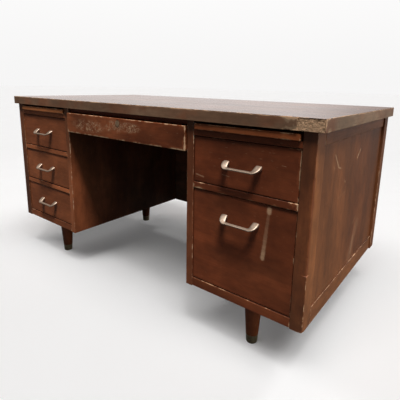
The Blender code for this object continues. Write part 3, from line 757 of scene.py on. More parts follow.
def board(node, finish_name, grain, name=None, slot=None, box=None, outline=None, axis=2, rounding=None,
          cell=0.08, rim=0.003, rate=3.0, cuts=((), (), ()), form=None, wear_box=None, **looks):
    """A board with rounded arrises, cut finely enough for its nicks, in place of a CAD node."""
    sizes = bpy.context.scene.desk_sizes
    name = name or f"{node}_board"
    low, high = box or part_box(node)
    nicks = seeded_nicks(name, low, high, sizes, rate)
    bm = bmesh.new()
    shaped(bm, outline or box_outline(low, high, axis), axis, low[axis], high[axis], rounding or sizes.arris)
    for side in range(3):
        stations = set(plain_stations(low[side], high[side], rim, cell)) | set(cuts[side])
        for nick_axis, place, _, size, _ in nicks:
            if nick_axis == side:
                stations |= {place + size * share for share in NICK_CUTS}
        first, last = low[side] + rim * CUT_RIM, high[side] - rim * CUT_RIM
        cut_across(bm, side, sorted(station for station in stations if first < station < last))
    in_order(bm)
    dent(bm, low, high, nicks, rim)
    if form:
        for vert in bm.verts:
            vert.co = form(vert.co.copy())
    mesh = mesh_of(bm, name)
    write_board_attributes(mesh, name, *(wear_box or (low, high)), grain, nicks, **looks)
    return add_piece(name, mesh, node, finish_name, slot, weighted=True)


# Desk top

# The top sheet's crumbled front edge: steps along it, depth, and where it ends short of the corner
CRUMBLE_STEPS = 15
CRUMBLE_DEPTH = 0.0017
CRUMBLE_END = 0.004
# The sheet's bruised corner: in from the side, and back from the front
SHEET_CORNER = ((0.0005, 0.0022), (0.0, 0.005))
# The torn end of the front band: steps up it, depth and lean
TEAR_STEPS = 9
TEAR_DEPTH = 0.0065
TEAR_LEAN = 0.001
# The chip out of the front band's lower edge: place along the desk, and height
BAND_CHIP = ((0.652, 0.0), (0.6545, 0.0024), (0.659, 0.0032), (0.664, 0.0022), (0.6685, 0.0034), (0.671, 0.0))
# How far the right band stops short of the front
BAND_STEP = 0.0004
# The bare core at the broken corner: length, skin, lumps' scales and shares, depth and lift, and its cuts
BARE_LENGTH = 0.12
BARE_SKIN = 0.001
BARE_LUMPS = ((210.0, 0.55), (520.0, 0.35))
BARE_DEPTH = 0.0016
BARE_LIFT = 0.0006
BARE_CUT = 0.0025
BARE_COLUMNS = 44
BARE_ROWS = 14
BARE_BEHIND = 0.006


def jagged(rng, start, end, steps, depth, across):
    """Points along a torn edge from start to end, pushed up to depth along across."""
    start, end, across = Vector(start), Vector(end), Vector(across)
    return [tuple(start.lerp(end, i / steps) + across * depth * rng.random()) for i in range(steps + 1)]


def top_sheet_outline(sizes):
    """The sheet's plan, with its front edge crumbled along the broken corner."""
    first = (TOP_HIGH.x - sizes.break_width, TOP_LOW.y)
    last = (TOP_HIGH.x - CRUMBLE_END, TOP_LOW.y)
    crumbled = jagged(random.Random("sheet"), first, last, CRUMBLE_STEPS, CRUMBLE_DEPTH, (0.0, 1.0))
    corner = [(TOP_HIGH.x - inward, TOP_LOW.y + back) for inward, back in SHEET_CORNER]
    return [(TOP_LOW.x, TOP_LOW.y), *crumbled, *corner, (TOP_HIGH.x, TOP_HIGH.y), (TOP_LOW.x, TOP_HIGH.y)]


def front_band_outline(sizes, low, high):
    """The front edge band: torn off at its right end, with a chip out of its lower edge."""
    end = TOP_HIGH.x - sizes.break_width
    first, last = (end, low.z), (end + TEAR_LEAN, high.z)
    torn = jagged(random.Random("band"), first, last, TEAR_STEPS, TEAR_DEPTH, (-1.0, 0.0))
    chip = [(place, low.z + height) for place, height in BAND_CHIP]
    return [(low.x, low.z), *chip, *torn, (low.x, high.z)]


class DESK_OT_top(bpy.types.Operator):
    """Make the desk top: chipboard core, top sheet and edge bands, broken at the front right corner"""

    bl_idname = "desk.top"
    bl_label = "Desk top"

    def execute(self, context):
        sizes = context.scene.desk_sizes
        band, under = sizes.band, TOP_HIGH.z - sizes.sheet
        slab = part_of(TOP, over=under)
        inner = part_of(
            slab, left=TOP_LOW.x + band, right=TOP_HIGH.x - band, front=TOP_LOW.y + band,
            back=TOP_HIGH.y - band,
        )
        in_low, in_high = inner
        rubs = [
            front_arris(TOP, "over", 0.010, 0.85),
            front_mark(TOP_LOW.y, TOP_HIGH.x - 0.08, TOP_HIGH.z, TOP_HIGH.x, TOP_HIGH.z, 0.008, 1.6),
            side_mark(TOP_HIGH.x, TOP_LOW.y, TOP_HIGH.z, -0.05, TOP_HIGH.z, 0.010, 0.60),
        ]
        board("desk_top", "top_wood", "x", name="desk_top_sheet", box=part_of(TOP, under=under),
              outline=top_sheet_outline(sizes), rounding=0.0005, cell=0.06, rate=0.0, rub=0.25, rubs=rubs)

        def crumble(point):
            """Roughens the bare front of the core at the broken corner."""
            if point.y < in_low.y + BARE_SKIN and point.x > in_high.x - BARE_LENGTH:
                lump = sum(noise.noise(point * scale) * share for scale, share in BARE_LUMPS)
                point.y += BARE_DEPTH * lump - BARE_LIFT
            return point

        columns = [in_high.x - BARE_CUT * i for i in range(1, BARE_COLUMNS)]
        rows = [in_low.z + (in_high.z - in_low.z) * i / BARE_ROWS for i in range(1, BARE_ROWS)]
        board("desk_top", "core", "x", name="desk_top_core", slot="top_wood", box=inner, rounding=0.0006,
              cell=0.25, rate=0.0, cuts=(columns, (in_low.y + BARE_BEHIND,), rows), form=crumble)

        looks = {"slot": "top_wood", "rim": 0.0009, "cell": 0.05, "rub": 0.35}
        bands = {
            "left": (part_of(slab, right=in_low.x, front=in_low.y, back=in_high.y), "y", 0, [], 0.0),
            "right": (part_of(slab, left=in_high.x, front=TOP_LOW.y + BAND_STEP, back=in_high.y), "y", 0,
                      [front_arris(slab, "right", 0.012, 1.8)], 0.30),
            "rear": (part_of(slab, front=in_high.y), "x", 1, [], 0.0),
        }
        for label, (box, grain, axis, rubs, fade) in bands.items():
            board("desk_top", "band_wood", grain, name=f"desk_top_{label}_band", box=box, axis=axis,
                  rounding=0.0005, rate=4.0, rubs=rubs, fade=fade, **looks)
        box = part_of(slab, right=TOP_HIGH.x - sizes.break_width + TEAR_LEAN, back=in_low.y)
        rubs = [
            front_arris(box, "right", 0.007, 6.0),
            front_mark(TOP_LOW.y, 0.654, TOP_LOW.z, 0.670, TOP_LOW.z, 0.006, 1.8),
        ]
        board("desk_top", "band_wood", "x", name="desk_top_front_band", box=box, axis=1, rounding=0.0004,
              outline=front_band_outline(sizes, *box), rate=0.0, rubs=rubs, **looks)
        return {"FINISHED"}


# Pedestals

# The sliver that is gone from the right front post above a ledge, and the post's bruised foot
LEDGE = 0.3445
LEDGE_CUTS = (-0.0020, -0.0007, -0.0001, 0.0001, 0.0010, 0.0030)
SLIVER_REACH = 0.017
SLIVER_TOP = 0.700
SLIVER_EASE = 0.09
SLIVER_PRESS = (-0.75, 0.45)
SLIVER_WAVE = 23.0
SLIVER_CUTS = [0.36 + 0.02 * i for i in range(17)]
BRUISE_REACH = 0.014
BRUISE_HEIGHT = 0.03
BRUISE_DEPTH = 0.0028
BRUISE_PRESS = Vector((-1.0, 1.0, 0.6))
BRUISE_LUMPS = 160.0
BRUISE_CUTS = [0.007 + 0.005 * i for i in range(6)]
POST_CUTS = (0.010, 0.016)


def post_form(sizes, low, high):
    """The right front post: a sliver gone from its outer arris above a ledge, and a bruised foot."""

    def form(point):
        near = (high.x - point.x) + (point.y - low.y)
        if near < SLIVER_REACH and point.z > LEDGE:
            ease = min(1.0, max(0.0, (SLIVER_TOP - point.z) / SLIVER_EASE))
            wave = 0.55 + 0.45 * noise.noise(Vector((0.0, 0.0, point.z * SLIVER_WAVE)))
            bite = sizes.post_chip * wave * ease * max(0.0, 1.0 - near / SLIVER_REACH)
            point.x += bite * SLIVER_PRESS[0]
            point.y += bite * SLIVER_PRESS[1]
        if near < BRUISE_REACH and point.z < low.z + BRUISE_HEIGHT:
            share = max(0.0, 1.0 - near / BRUISE_REACH) * (1.0 - (point.z - low.z) / BRUISE_HEIGHT)
            lump = 0.8 + 0.5 * noise.noise(point * BRUISE_LUMPS)
            point += BRUISE_PRESS * (BRUISE_DEPTH * share * lump)
        return point

    return form


def post_cuts(low, high):
    """Cuts of the right front post, close together at its ledge and its foot."""
    up = [*(LEDGE + step for step in LEDGE_CUTS), *(low.z + step for step in BRUISE_CUTS), *SLIVER_CUTS]
    return [high.x - step for step in POST_CUTS], [low.y + step for step in POST_CUTS], up


class DESK_OT_side_frames(bpy.types.Operator):
    """Make the outer side of each pedestal: posts, rails, panel and back board"""

    bl_idname = "desk.side_frames"
    bl_label = "Side frames and backs"

    def execute(self, context):
        for side, sign in SIDES.items():
            outer, face = sign * POST_HIGH.x, POST_LOW.y

            def upright(z, to_z, reach, share):
                return front_mark(face, outer, z, outer, to_z, reach, share)

            low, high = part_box(f"{side}_front_post")
            rubs = [upright(low.z, high.z, 0.008, 0.42)]
            more = {}
            if side == "right":
                rubs += [upright(low.z, low.z + 0.020, 0.016, 2.4)]
                form = post_form(context.scene.desk_sizes, low, high)
                more = {"form": form, "rim": 0.006, "cuts": post_cuts(low, high)}
            board(f"{side}_front_post", "side_wood", "z", rubs=rubs,
                  faces=[(0, sign, 0.66, 0.0), (1, -1, 0.0, -0.26)],
                  tones=[upright(0.40, 0.70, 0.12, 0.30), upright(0.29, 0.35, 0.05, -0.18)], **more)
            board(f"{side}_rear_post", "side_wood", "z", rub=0.45, fade=0.35)
            low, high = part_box(f"{side}_side_bottom_rail")
            rubs = [
                side_mark(outer, low.y, high.z, high.y, high.z, 0.006, 0.26),
                side_mark(outer, low.y, low.z, low.y + 0.12, low.z, 0.008, 1.0),
            ]
            # The rail's upper face is darkened: painted shade, as if in shadow.
            board(f"{side}_side_bottom_rail", "side_wood", "y", name=f"{side}_bottom_rail_board", rub=0.14,
                  rubs=rubs, fade=0.58, rounding=0.0006, faces=[(2, 1, 0.2, -0.62)])
            low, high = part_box(f"{side}_side_top_rail")
            rubs = [side_mark(outer, low.y, low.z, high.y, low.z, 0.006, 0.55)]
            board(f"{side}_side_top_rail", "side_wood", "y", name=f"{side}_top_rail_board", rubs=rubs,
                  fade=0.42)
            tones = [
                side_mark(outer, 0.30, 0.2, 0.30, 0.6, 0.20, -0.14),
                side_mark(outer, face, 0.20, 0.05, 0.20, 0.13, -0.12),
            ]
            board(f"{side}_side_panel", "side_wood", "z", rounding=0.0004, rate=0.0, cell=0.05, rub=0.1,
                  fade=0.24, fades_and_light=[upright(0.2, 0.6, 0.40, 0.52)], tones=tones)
            board(f"{side}_back_board", "side_wood", "z", name=f"{side}_back_panel", rounding=0.0005,
                  rate=1.0, fade=0.3)
        return {"FINISHED"}


def mirrored(outline, sign):
    return [(sign * x, y) for x, y in outline]


def notched_outline(box, sign, behind_face=0.0):
    """Plan of a board across a pedestal, cut round its posts and stile."""
    low, high = box
    inner, outer = sorted((sign * low.x, sign * high.x))
    front, back = low.y + behind_face, high.y
    post_y = POST_HIGH.y + CLEARANCE
    stile_y = low.y + STILE_DEPTH + CLEARANCE
    rear_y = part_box("right_rear_post")[0].y - CLEARANCE
    plan = [
        (STILE_X, front), (POST_X, front), (POST_X, post_y), (outer, post_y), (outer, rear_y),
        (POST_X, rear_y), (POST_X, back), (inner, back), (inner, stile_y), (STILE_X, stile_y),
    ]
    return mirrored(plan, sign)


class DESK_OT_inner_panels(bpy.types.Operator):
    """Make the kneehole side of each pedestal, the modesty panel and the rail under the top"""

    bl_idname = "desk.inner_panels"
    bl_label = "Inner panels and kneehole"

    def execute(self, context):
        low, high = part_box("right_inner_panel")
        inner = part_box("right_bottom_board")[0].x - CLEARANCE
        stile_y = low.y + STILE_DEPTH
        plan = [
            (low.x, low.y), (high.x, low.y), (high.x, stile_y), (inner, stile_y), (inner, high.y),
            (low.x, high.y),
        ]
        for side, sign in SIDES.items():
            edge = sign * low.x
            looks = {"faces": [(1, -1, 0.28, 0.0)]}
            # On the left, the panel is paler towards its front edge: painted light, where light falls into
            # the kneehole.
            if side == "left":
                looks = {"faces": [(1, -1, 0.75, 0.18)],
                         "fades_and_light": [front_mark(low.y, edge, low.z, edge, high.z, 0.11, 0.42)]}
            rubs = [
                front_mark(low.y, edge, low.z, edge, high.z, 0.007, 0.6),
                side_mark(edge, low.y, low.z, high.y, low.z, 0.007, 0.5),
            ]
            # The tone darkens the top of each kneehole panel: painted shade under the centre drawer and the
            # desk top.
            board(f"{side}_inner_panel", "face_wood", "z", outline=mirrored(plan, sign), rubs=rubs,
                  tones=[side_mark(edge, low.y + 0.06, high.z, high.y, high.z, 0.20, -0.40)], **looks)
        board("modesty_panel", "face_wood", "x")
        board("kneehole_rail", "face_wood", "x")
        for side in SIDES:
            board(f"{side}_centre_runner", "drawer_wood", "y", name=f"{side}_runner_board")
        return {"FINISHED"}


# Tone of the upper faces in the dark gaps over drawers and slides: painted shade, darkened as if in shadow
GAP_SHADE_FACE = (2, 1, 0.0, -0.72)


class DESK_OT_pedestal_boards(bpy.types.Operator):
    """Make the boards across the pedestals: bottoms with their front rails, dividers and slide shelves"""

    bl_idname = "desk.pedestal_boards"
    bl_label = "Pedestal boards"

    def execute(self, context):
        for side, sign in SIDES.items():
            near, far = sorted((sign * STILE_X, sign * POST_X))
            ends = [sign * (POST_X - step) for step in (0.008, 0.016, 0.030)]
            for name in (*DIVIDERS[side], f"{side}_slide_shelf"):
                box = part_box(name)
                low, high = box
                shown = part_of(box, left=near, right=far)
                rubs = [front_arris(shown, "under", 0.006, 0.55)] if "divider" in name else []
                if name == "right_divider":
                    rubs += [
                        front_mark(low.y, near, low.z, near + 0.048, low.z, 0.007, 2.8),
                        front_mark(low.y, far, high.z, far - 0.012, low.z + 0.004, 0.010, 2.6),
                    ]
                board(name, "face_wood", "x", outline=notched_outline(box, sign), rub=0.12, rubs=rubs,
                      cuts=(ends, (), ()), fade=1.0 if sign < 0 else 0.05,
                      tone=0.42 if sign < 0 and "divider" in name else 0.0, faces=[GAP_SHADE_FACE], wear_box=shown)
            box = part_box(f"{side}_bottom_board")
            low, high = box
            rail = part_of(box, left=near, right=far, back=low.y + RAIL_DEPTH)
            rubs = [front_arris(rail, "under", 0.006, 0.5)]
            looks = {"fade": 0.6}
            if side == "right":
                rubs += [front_arris(rail, "over", 0.005, 0.30)]
                # On the right, a pale line along the rail's top arris: painted highlight, where the arris
                # catches the light.
                looks = {"fades_and_light": [front_arris(rail, "over", 0.0024, 1.0)]}
            board(f"{side}_bottom_board", "face_wood", "x", name=f"{side}_front_rail_board", box=rail,
                  rub=0.12, rubs=rubs, faces=[GAP_SHADE_FACE], **looks)
            board(f"{side}_bottom_board", "face_wood", "x", name=f"{side}_floor_board",
                  outline=notched_outline(box, sign, RAIL_DEPTH),
                  box=part_of(box, front=low.y + RAIL_DEPTH, under=high.z - BOTTOM_THICKNESS))
        return {"FINISHED"}


# Drawers

FRONT_FADE = {
    "left_top_drawer": 0.70, "left_middle_drawer": 0.95, "left_bottom_drawer": 0.70, "right_top_drawer": 0.0,
    "file_drawer": 0.06,
}


def front_tones_and_shade(name, box):
    """Paler and darker patches of a drawer's front; the darker ones along the top drawers' upper edges and
    below the file drawer's pull are painted shade under the desk top and the pull.
    """
    low = box[0]
    patches = {
        "left_top_drawer": [front_arris(box, "over", 0.022, -0.30)],
        "right_top_drawer": [
            front_arris(box, "over", 0.035, -0.16),
            front_mark(low.y, low.x, 0.58, 0.42, 0.57, 0.040, 0.12),
            front_mark(low.y, 0.46, 0.655, 0.60, 0.640, 0.030, -0.20),
            front_mark(low.y, 0.355, 0.541, 0.44, 0.541, 0.014, -0.28),
        ],
        "file_drawer": [
            front_mark(low.y, low.x, 0.44, 0.43, 0.42, 0.045, 0.14),
            front_mark(low.y, 0.47, 0.37, 0.59, 0.36, 0.050, -0.16),
            front_mark(low.y, 0.50, 0.27, 0.62, 0.25, 0.060, 0.12),
            front_mark(low.y, 0.36, 0.30, 0.40, 0.24, 0.060, 0.38),
            front_mark(low.y, 0.665, 0.50, 0.665, 0.36, 0.045, -0.24),
        ],
    }
    return patches.get(name, [])


class DESK_OT_drawer_fronts(bpy.types.Operator):
    """Make the fronts of the pedestal drawers"""

    bl_idname = "desk.drawer_fronts"
    bl_label = "Drawer fronts"

    def execute(self, context):
        for name in PEDESTAL_DRAWERS:
            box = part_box(f"{name}_front")
            rubs = [front_arris(box, "under", 0.006, 0.35)]
            if name == "right_top_drawer":
                rubs += [front_arris(box, "right", 0.007, 0.9)]
            board(f"{name}_front", "face_wood", "x", rub=0.2, rubs=rubs, tones=front_tones_and_shade(name, box),
                  fade=FRONT_FADE[name], cell=0.03)
        return {"FINISHED"}


def box_walls(box):
    """The two sides and the back of a drawer's box, each with the way of its grain."""
    low, high = box
    return {
        "near_wall": (part_of(box, right=low.x + WALL), "y"),
        "far_wall": (part_of(box, left=high.x - WALL), "y"),
        "rear_wall": (part_of(box, left=low.x + WALL, right=high.x - WALL, front=high.y - WALL), "x"),
    }


class DESK_OT_drawer_boxes(bpy.types.Operator):
    """Make the boxes and bottoms of the pedestal drawers"""

    bl_idname = "desk.drawer_boxes"
    bl_label = "Drawer boxes"

    def execute(self, context):
        for name in PEDESTAL_DRAWERS:
            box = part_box(f"{name}_box")
            for label, (wall, grain) in box_walls(box).items():
                board(f"{name}_box", "drawer_wood", grain, name=f"{name}_{label}", box=wall, cell=0.15,
                      rate=1.5)
            board(f"{name}_bottom", "drawer_wood", "x", name=f"{name}_bottom_sheet", rounding=0.0004,
                  box=part_of(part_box(f"{name}_bottom"), front=box[0].y), rim=0.001, cell=0.15, rate=0.0)
        return {"FINISHED"}


class DESK_OT_writing_slides(bpy.types.Operator):
    """Make the pull-out boards over the drawers"""

    bl_idname = "desk.writing_slides"
    bl_label = "Writing slides"

    def execute(self, context):
        # The front faces are paler: painted light, as where the slides' edges catch the light under the desk
        # top.
        for side, front in (("left", (1, -1, 1.0, 0.40)), ("right", (1, -1, 0.0, 0.38))):
            node = f"{side}_writing_slide"
            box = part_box(node)
            rubs = [front_arris(box, "over", 0.006, 0.7), front_arris(box, "right", 0.008, 1.6)]
            board(node, "slide_wood", "x", rubs=rubs, fade=0.12, faces=[front])
        return {"FINISHED"}


# The drill for the lock's hole: sides, and length
BORE_AROUND = 40
BORE_LENGTH = 0.1


def bore(piece, radius, at):
    """Cuts a round hole through a piece, along Y."""
    bm = bmesh.new()
    turn = Matrix.Translation(at) @ Matrix.Rotation(math.pi / 2, 4, "X")
    bmesh.ops.create_cone(
        bm, cap_ends=True, segments=BORE_AROUND, radius1=radius, radius2=radius, depth=BORE_LENGTH,
        matrix=turn,
    )
    drill = bpy.data.objects.new("drill", mesh_of(bm, "drill"))
    bpy.context.scene.collection.objects.link(drill)
    cut = piece.modifiers.new("bore", "BOOLEAN")
    cut.object = drill
    cut.solver = "EXACT"
    kept = [modifier for modifier in piece.modifiers if modifier != cut]
    for modifier in kept:
        modifier.show_viewport = False
    bpy.context.view_layer.update()
    mesh = bpy.data.meshes.new_from_object(piece.evaluated_get(bpy.context.evaluated_depsgraph_get()))
    piece.modifiers.remove(cut)
    for modifier in kept:
        modifier.show_viewport = True
    piece.data = mesh
    bpy.data.objects.remove(drill)


# How far the lock's flange covers the rim of its hole
FLANGE_COVER = 0.0017


class DESK_OT_centre_drawer(bpy.types.Operator):
    """Make the shallow drawer over the kneehole"""

    bl_idname = "desk.centre_drawer"
    bl_label = "Centre drawer"

    def execute(self, context):
        low, _ = CENTRE
        rubs = [
            front_arris(CENTRE, "over", 0.006, 0.8),
            front_arris(CENTRE, "under", 0.008, 1.9),
            front_arris(CENTRE, "left", 0.008, 0.8),
            front_arris(CENTRE, "right", 0.008, 2.0),
            front_mark(low.y, low.x, low.z, -0.030, low.z, 0.009, 2.4),
            front_mark(low.y, low.x + 0.006, low.z, low.x + 0.036, low.z, 0.010, 4.0),
        ]
        fades_and_light = [
            front_mark(low.y, low.x, 0.67, -0.10, 0.67, 0.12, 0.48),
            front_mark(low.y, low.x, 0.64, low.x, 0.70, 0.035, 0.90),
        ]
        front = board("centre_drawer_front", "centre_wood", "x", slot="face_wood", rubs=rubs, fades_and_light=fades_and_light,
                      fade=0.10, rate=7.0, cell=0.03)
        flange_low, flange_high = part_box("lock_body")
        middle = (flange_low + flange_high) / 2
        radius = (flange_high.x - flange_low.x) / 2 - FLANGE_COVER
        bore(front, radius, Vector((middle.x, CENTRE_Y, middle.z)))

        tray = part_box("centre_drawer_tray")
        floor_z = tray[0].z + TRAY_FLOOR
        for label, (wall, grain) in box_walls(part_of(tray, under=floor_z)).items():
            board("centre_drawer_tray", "drawer_wood", grain, name=f"centre_tray_{label}", box=wall,
                  cell=0.15, rate=1.0)
        board("centre_drawer_tray", "drawer_wood", "x", name="centre_tray_floor", rounding=0.0005,
              box=part_of(tray, over=floor_z), rim=0.001, cell=0.15, rate=1.0)
        return {"FINISHED"}


# The lock's softened edge, and the least crease in degrees that gets it
LOCK_ROUNDING = 0.0003
LOCK_CREASE = 40


class DESK_OT_lock(bpy.types.Operator):
    """Finish the lock's body and plug, which keep the shape of the frame"""

    bl_idname = "desk.lock"
    bl_label = "Lock"

    def execute(self, context):
        for node in ("lock_body", "lock_plug"):
            piece = frame["nodes"][node]
            piece.data.materials.clear()
            piece.data.materials.append(finish("lock_metal"))
            softened = piece.modifiers.new("softened", "BEVEL")
            softened.width = LOCK_ROUNDING
            softened.segments = 2
            softened.limit_method = "ANGLE"
            softened.angle_limit = math.radians(LOCK_CREASE)
            softened.harden_normals = True
        return {"FINISHED"}


# Pulls: sizes, then how the strap eases from foot to bar, then the steps of its mesh

PULL_WIDTH = 0.130
PULL_BAR = 0.074
PULL_STAND = 0.0261
PULL_FALL = 0.011
PULL_FOOT_WIDTH = 0.022
PULL_FOOT_HEIGHT = 0.015
PULL_BAR_DEPTH = 0.009
PULL_STRAP = 0.0045
FOOT_EASE = 0.6
FOOT_FALL = 0.2
BAR_EASE = 0.7
WAIST = 2.2
LEG_OF_PULL_STEPS = 22
BAR_STEPS = 16
STRAP_AROUND = 24


def pull_rings():
    """Centre, half width and half thickness at each step from a bow pull's right foot to its left foot."""
    up = Vector((0.0, -PULL_FALL, PULL_STAND)).normalized()
    foot = Vector(((PULL_WIDTH - PULL_FOOT_WIDTH) / 2, 0.0, 0.0))
    reach = PULL_STAND - PULL_BAR_DEPTH / 2 * up.z
    bar = Vector((PULL_BAR / 2, -reach, -PULL_FALL))
    forward = foot + Vector((0.0, -FOOT_EASE * reach, -FOOT_FALL * PULL_FALL))
    outward = bar + Vector((BAR_EASE * (foot.x - bar.x), 0.0, 0.0))
    right = interpolate_bezier(foot, forward, outward, bar, LEG_OF_PULL_STEPS)
    middle = [bar.lerp(Vector((-bar.x, bar.y, bar.z)), i / BAR_STEPS) for i in range(1, BAR_STEPS)]
    path = [*right, *middle, *[Vector((-p.x, p.y, p.z)) for p in reversed(right)]]
    last = len(path) - 1
    rings = []
    for index, point in enumerate(path):
        along = (path[min(index + 1, last)] - path[max(index - 1, 0)]).normalized()
        if index in (0, last):
            along = Vector((0.0, -1.0 if index == 0 else 1.0, 0.0))
        from_foot = min(1.0, min(index, last - index) / (LEG_OF_PULL_STEPS - 1))
        width = PULL_FOOT_WIDTH + (PULL_BAR_DEPTH - PULL_FOOT_WIDTH) * from_foot ** WAIST
        thickness = PULL_STRAP + (PULL_FOOT_HEIGHT - PULL_STRAP) * (1.0 - from_foot) ** 3
        across = along.cross(up).normalized()
        rings.append((point, across * width / 2, across.cross(along) * thickness / 2))
    return rings


def squared(value):
    """Flattens a circle's side towards a strap's."""
    return math.copysign(abs(value) ** 0.5, value)


def swept(rings):
    """Strap-shaped rings bridged one to the next, with closed ends."""
    bm = bmesh.new()
    turns = [2 * math.pi * (i + 0.5) / STRAP_AROUND for i in range(STRAP_AROUND)]
    made = []
    for centre, across, through in rings:
        made.append([
            bm.verts.new(centre + across * squared(math.cos(turn)) + through * squared(math.sin(turn)))
            for turn in turns
        ])
    for first, second in zip(made, made[1:]):
        for i in range(STRAP_AROUND):
            j = (i + 1) % STRAP_AROUND
            bm.faces.new((first[i], first[j], second[j], second[i]))
    bm.faces.new(list(reversed(made[0])))
    bm.faces.new(made[-1])
    bmesh.ops.recalc_face_normals(bm, faces=bm.faces)
    return bm


class DESK_OT_pulls(bpy.types.Operator):
    """Make the bow pulls of the pedestal drawers"""

    bl_idname = "desk.pulls"
    bl_label = "Bow pulls"

    def execute(self, context):
        rings = pull_rings()
        for drawer in PEDESTAL_DRAWERS:
            name = f"{drawer}_bow_pull"
            low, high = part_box(f"{drawer}_pull")
            bm = swept(rings)
            at = Vector(((low.x + high.x) / 2, high.y, high.z - PULL_FOOT_HEIGHT / 2))
            bmesh.ops.translate(bm, verts=bm.verts, vec=at)
            add_piece(name, mesh_of(bm, name, sharp=50), f"{drawer}_pull", "pull_metal")
        return {"FINISHED"}


# Legs

# How much paler or darker than the rest each leg is: painted shade on the rear legs and the front left one,
# painted light on the front right one
LEG_TONES_AND_SHADE = {"front_left": -0.12, "front_right": 0.14, "rear_left": -0.50, "rear_right": -0.50}
# Radii of a leg at the floor and the shoulder, its eased rim, and how its taper is stepped and ends
LEG_FOOT = 0.0185
LEG_HEAD = 0.032
LEG_EASE = 0.0015
LEG_STEPS = 10
LEG_END = 0.001
LEG_END_INSET = 0.0012
TURNED_AROUND = 48
# The ferrule's profile: in and down from its lip, then plain heights, then in and up from its foot
CUP_LIP = ((0.0012, 0.0004), (0.0008, 0.0), (0.0001, 0.0004), (0.0, 0.0016), (0.0005, 0.0024))
CUP_SIDE = (0.02, 0.010, 0.0034)
CUP_FOOT = ((0.0006, 0.0012), (0.0022, 0.0))


def turned(profile, at):
    """A solid of revolution about a vertical axis, from its (radius, height) profile, top to bottom."""
    bm = bmesh.new()
    turns = [2 * math.pi * i / TURNED_AROUND for i in range(TURNED_AROUND)]
    rings = []
    for radius, height in profile:
        if radius < 1e-6:
            rings.append([bm.verts.new((at.x, at.y, height))])
            continue
        rings.append([
            bm.verts.new((at.x + radius * math.cos(turn), at.y + radius * math.sin(turn), height))
            for turn in turns
        ])
    for first, second in zip(rings, rings[1:]):
        for i in range(TURNED_AROUND):
            j = (i + 1) % TURNED_AROUND
            corners = [first[i % len(first)], first[j % len(first)]]
            corners += [second[j % len(second)], second[i % len(second)]]
            bm.faces.new(list(dict.fromkeys(corners)))
    bmesh.ops.recalc_face_normals(bm, faces=bm.faces)
    return bm


class DESK_OT_legs(bpy.types.Operator):
    """Make the tapered legs and their metal ferrules"""

    bl_idname = "desk.legs"
    bl_label = "Legs and ferrules"

    def execute(self, context):
        for name, tone in LEG_TONES_AND_SHADE.items():
            side = name.split("_")[1]
            low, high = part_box(f"{name}_leg")
            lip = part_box(f"{name}_ferrule")[1].z
            at = (low + high) / 2
            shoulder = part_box(f"{side}_bottom_board")[1].z - BOTTOM_THICKNESS - CLEARANCE

            def radius(height):
                return LEG_FOOT + (LEG_HEAD - LEG_FOOT) * height / shoulder

            first, last = shoulder - LEG_EASE, lip + LEG_END
            heights = [first + (last - first) * i / LEG_STEPS for i in range(LEG_STEPS + 1)]
            end = lip + CLEARANCE
            profile = [
                (0.0, shoulder), (LEG_HEAD - LEG_EASE, shoulder), *((radius(z), z) for z in heights),
                (radius(lip) - LEG_END_INSET, end), (0.0, end),
            ]
            mesh = mesh_of(turned(profile, at), f"{name}_turned_leg", sharp=50)
            wear_low = (at.x - LEG_HEAD, at.y - LEG_HEAD, lip)
            wear_high = (at.x + LEG_HEAD, at.y + LEG_HEAD, shoulder)
            write_board_attributes(mesh, name, wear_low, wear_high, "z", rub=0.15, tone=tone)
            add_piece(f"{name}_turned_leg", mesh, f"{name}_leg", "leg_wood")
            cup = [
                (0.0, lip - CUP_LIP[0][1]), *((radius(lip) - inset, lip - drop) for inset, drop in CUP_LIP),
                *((radius(z), z) for z in CUP_SIDE), *((LEG_FOOT - inset, z) for inset, z in CUP_FOOT),
                (0.0, 0.0),
            ]
            mesh = mesh_of(turned(cup, at), f"{name}_foot_cup", sharp=60)
            add_piece(f"{name}_foot_cup", mesh, f"{name}_ferrule", "ferrule_metal")
        return {"FINISHED"}


# Studio

SENSOR = 36.0
CLIP = (0.01, 200.0)
FLOOR_SIZE = 60.0
# What the floor throws back at the desk, its own faint glow, and how it dims far away
FLOOR_THROWN = (0.125, 0.122, 0.12)
FLOOR_GLOW = 0.112
FLOOR_FAR = (1.4, 4.0, 1.0, 0.945)
# Tints of the light from all round and of what glossy faces mirror
AMBIENT_TINT = (1.0, 0.98, 0.96)
GLOSS_TINT = (1.0, 0.97, 0.96)
# The key is a short strip of lamps overhead, from left to right: across, then towards the front and up
KEY_ROW = (0.12, 0.21, 0.30, 0.39)
KEY_TOWARD = (-0.2525, 1.0)
# Apparent size of the broad lamps, in degrees
SOFT = 60
# Broad soft fills: towards, and share of the strength
FILLS = {
    "rear_fill": ((-0.2, 1.0, 0.7), 1.0),
    "left_fill": ((-1.0, 0.1, 0.6), 1.0),
    "right_fill": ((1.0, 0.1, 0.45), 0.70),
}
# A dim cool light that only the boards round the kneehole see
KNEEHOLE_BOARDS = ("left_inner_panel_board", "right_inner_panel_board", "modesty_panel_board")
KNEEHOLE_TOWARD = (0.7, -1.0, 0.1)
KNEEHOLE_TINT = (0.06, 0.50, 1.0)
KNEEHOLE_STRENGTH = 0.56
# Soft lights that only the floor sees: azimuth, elevation and softness in degrees, and share of the strength
FLOOR_LIGHTS = (
    (45, 66, 10, 0.17), (22, 66, 20, 0.18), (350, 58, 20, 0.15), (66, 58, 10, 0.10), (90, 58, 20, 0.19),
    (285, 35, 20, 0.15), (155, 48, 12, 0.13),
)


def direction(around, lift):
    """The way from the desk towards a lamp or camera, from its azimuth and elevation."""
    return Vector((math.sin(around) * math.cos(lift), -math.cos(around) * math.cos(lift), math.sin(lift)))


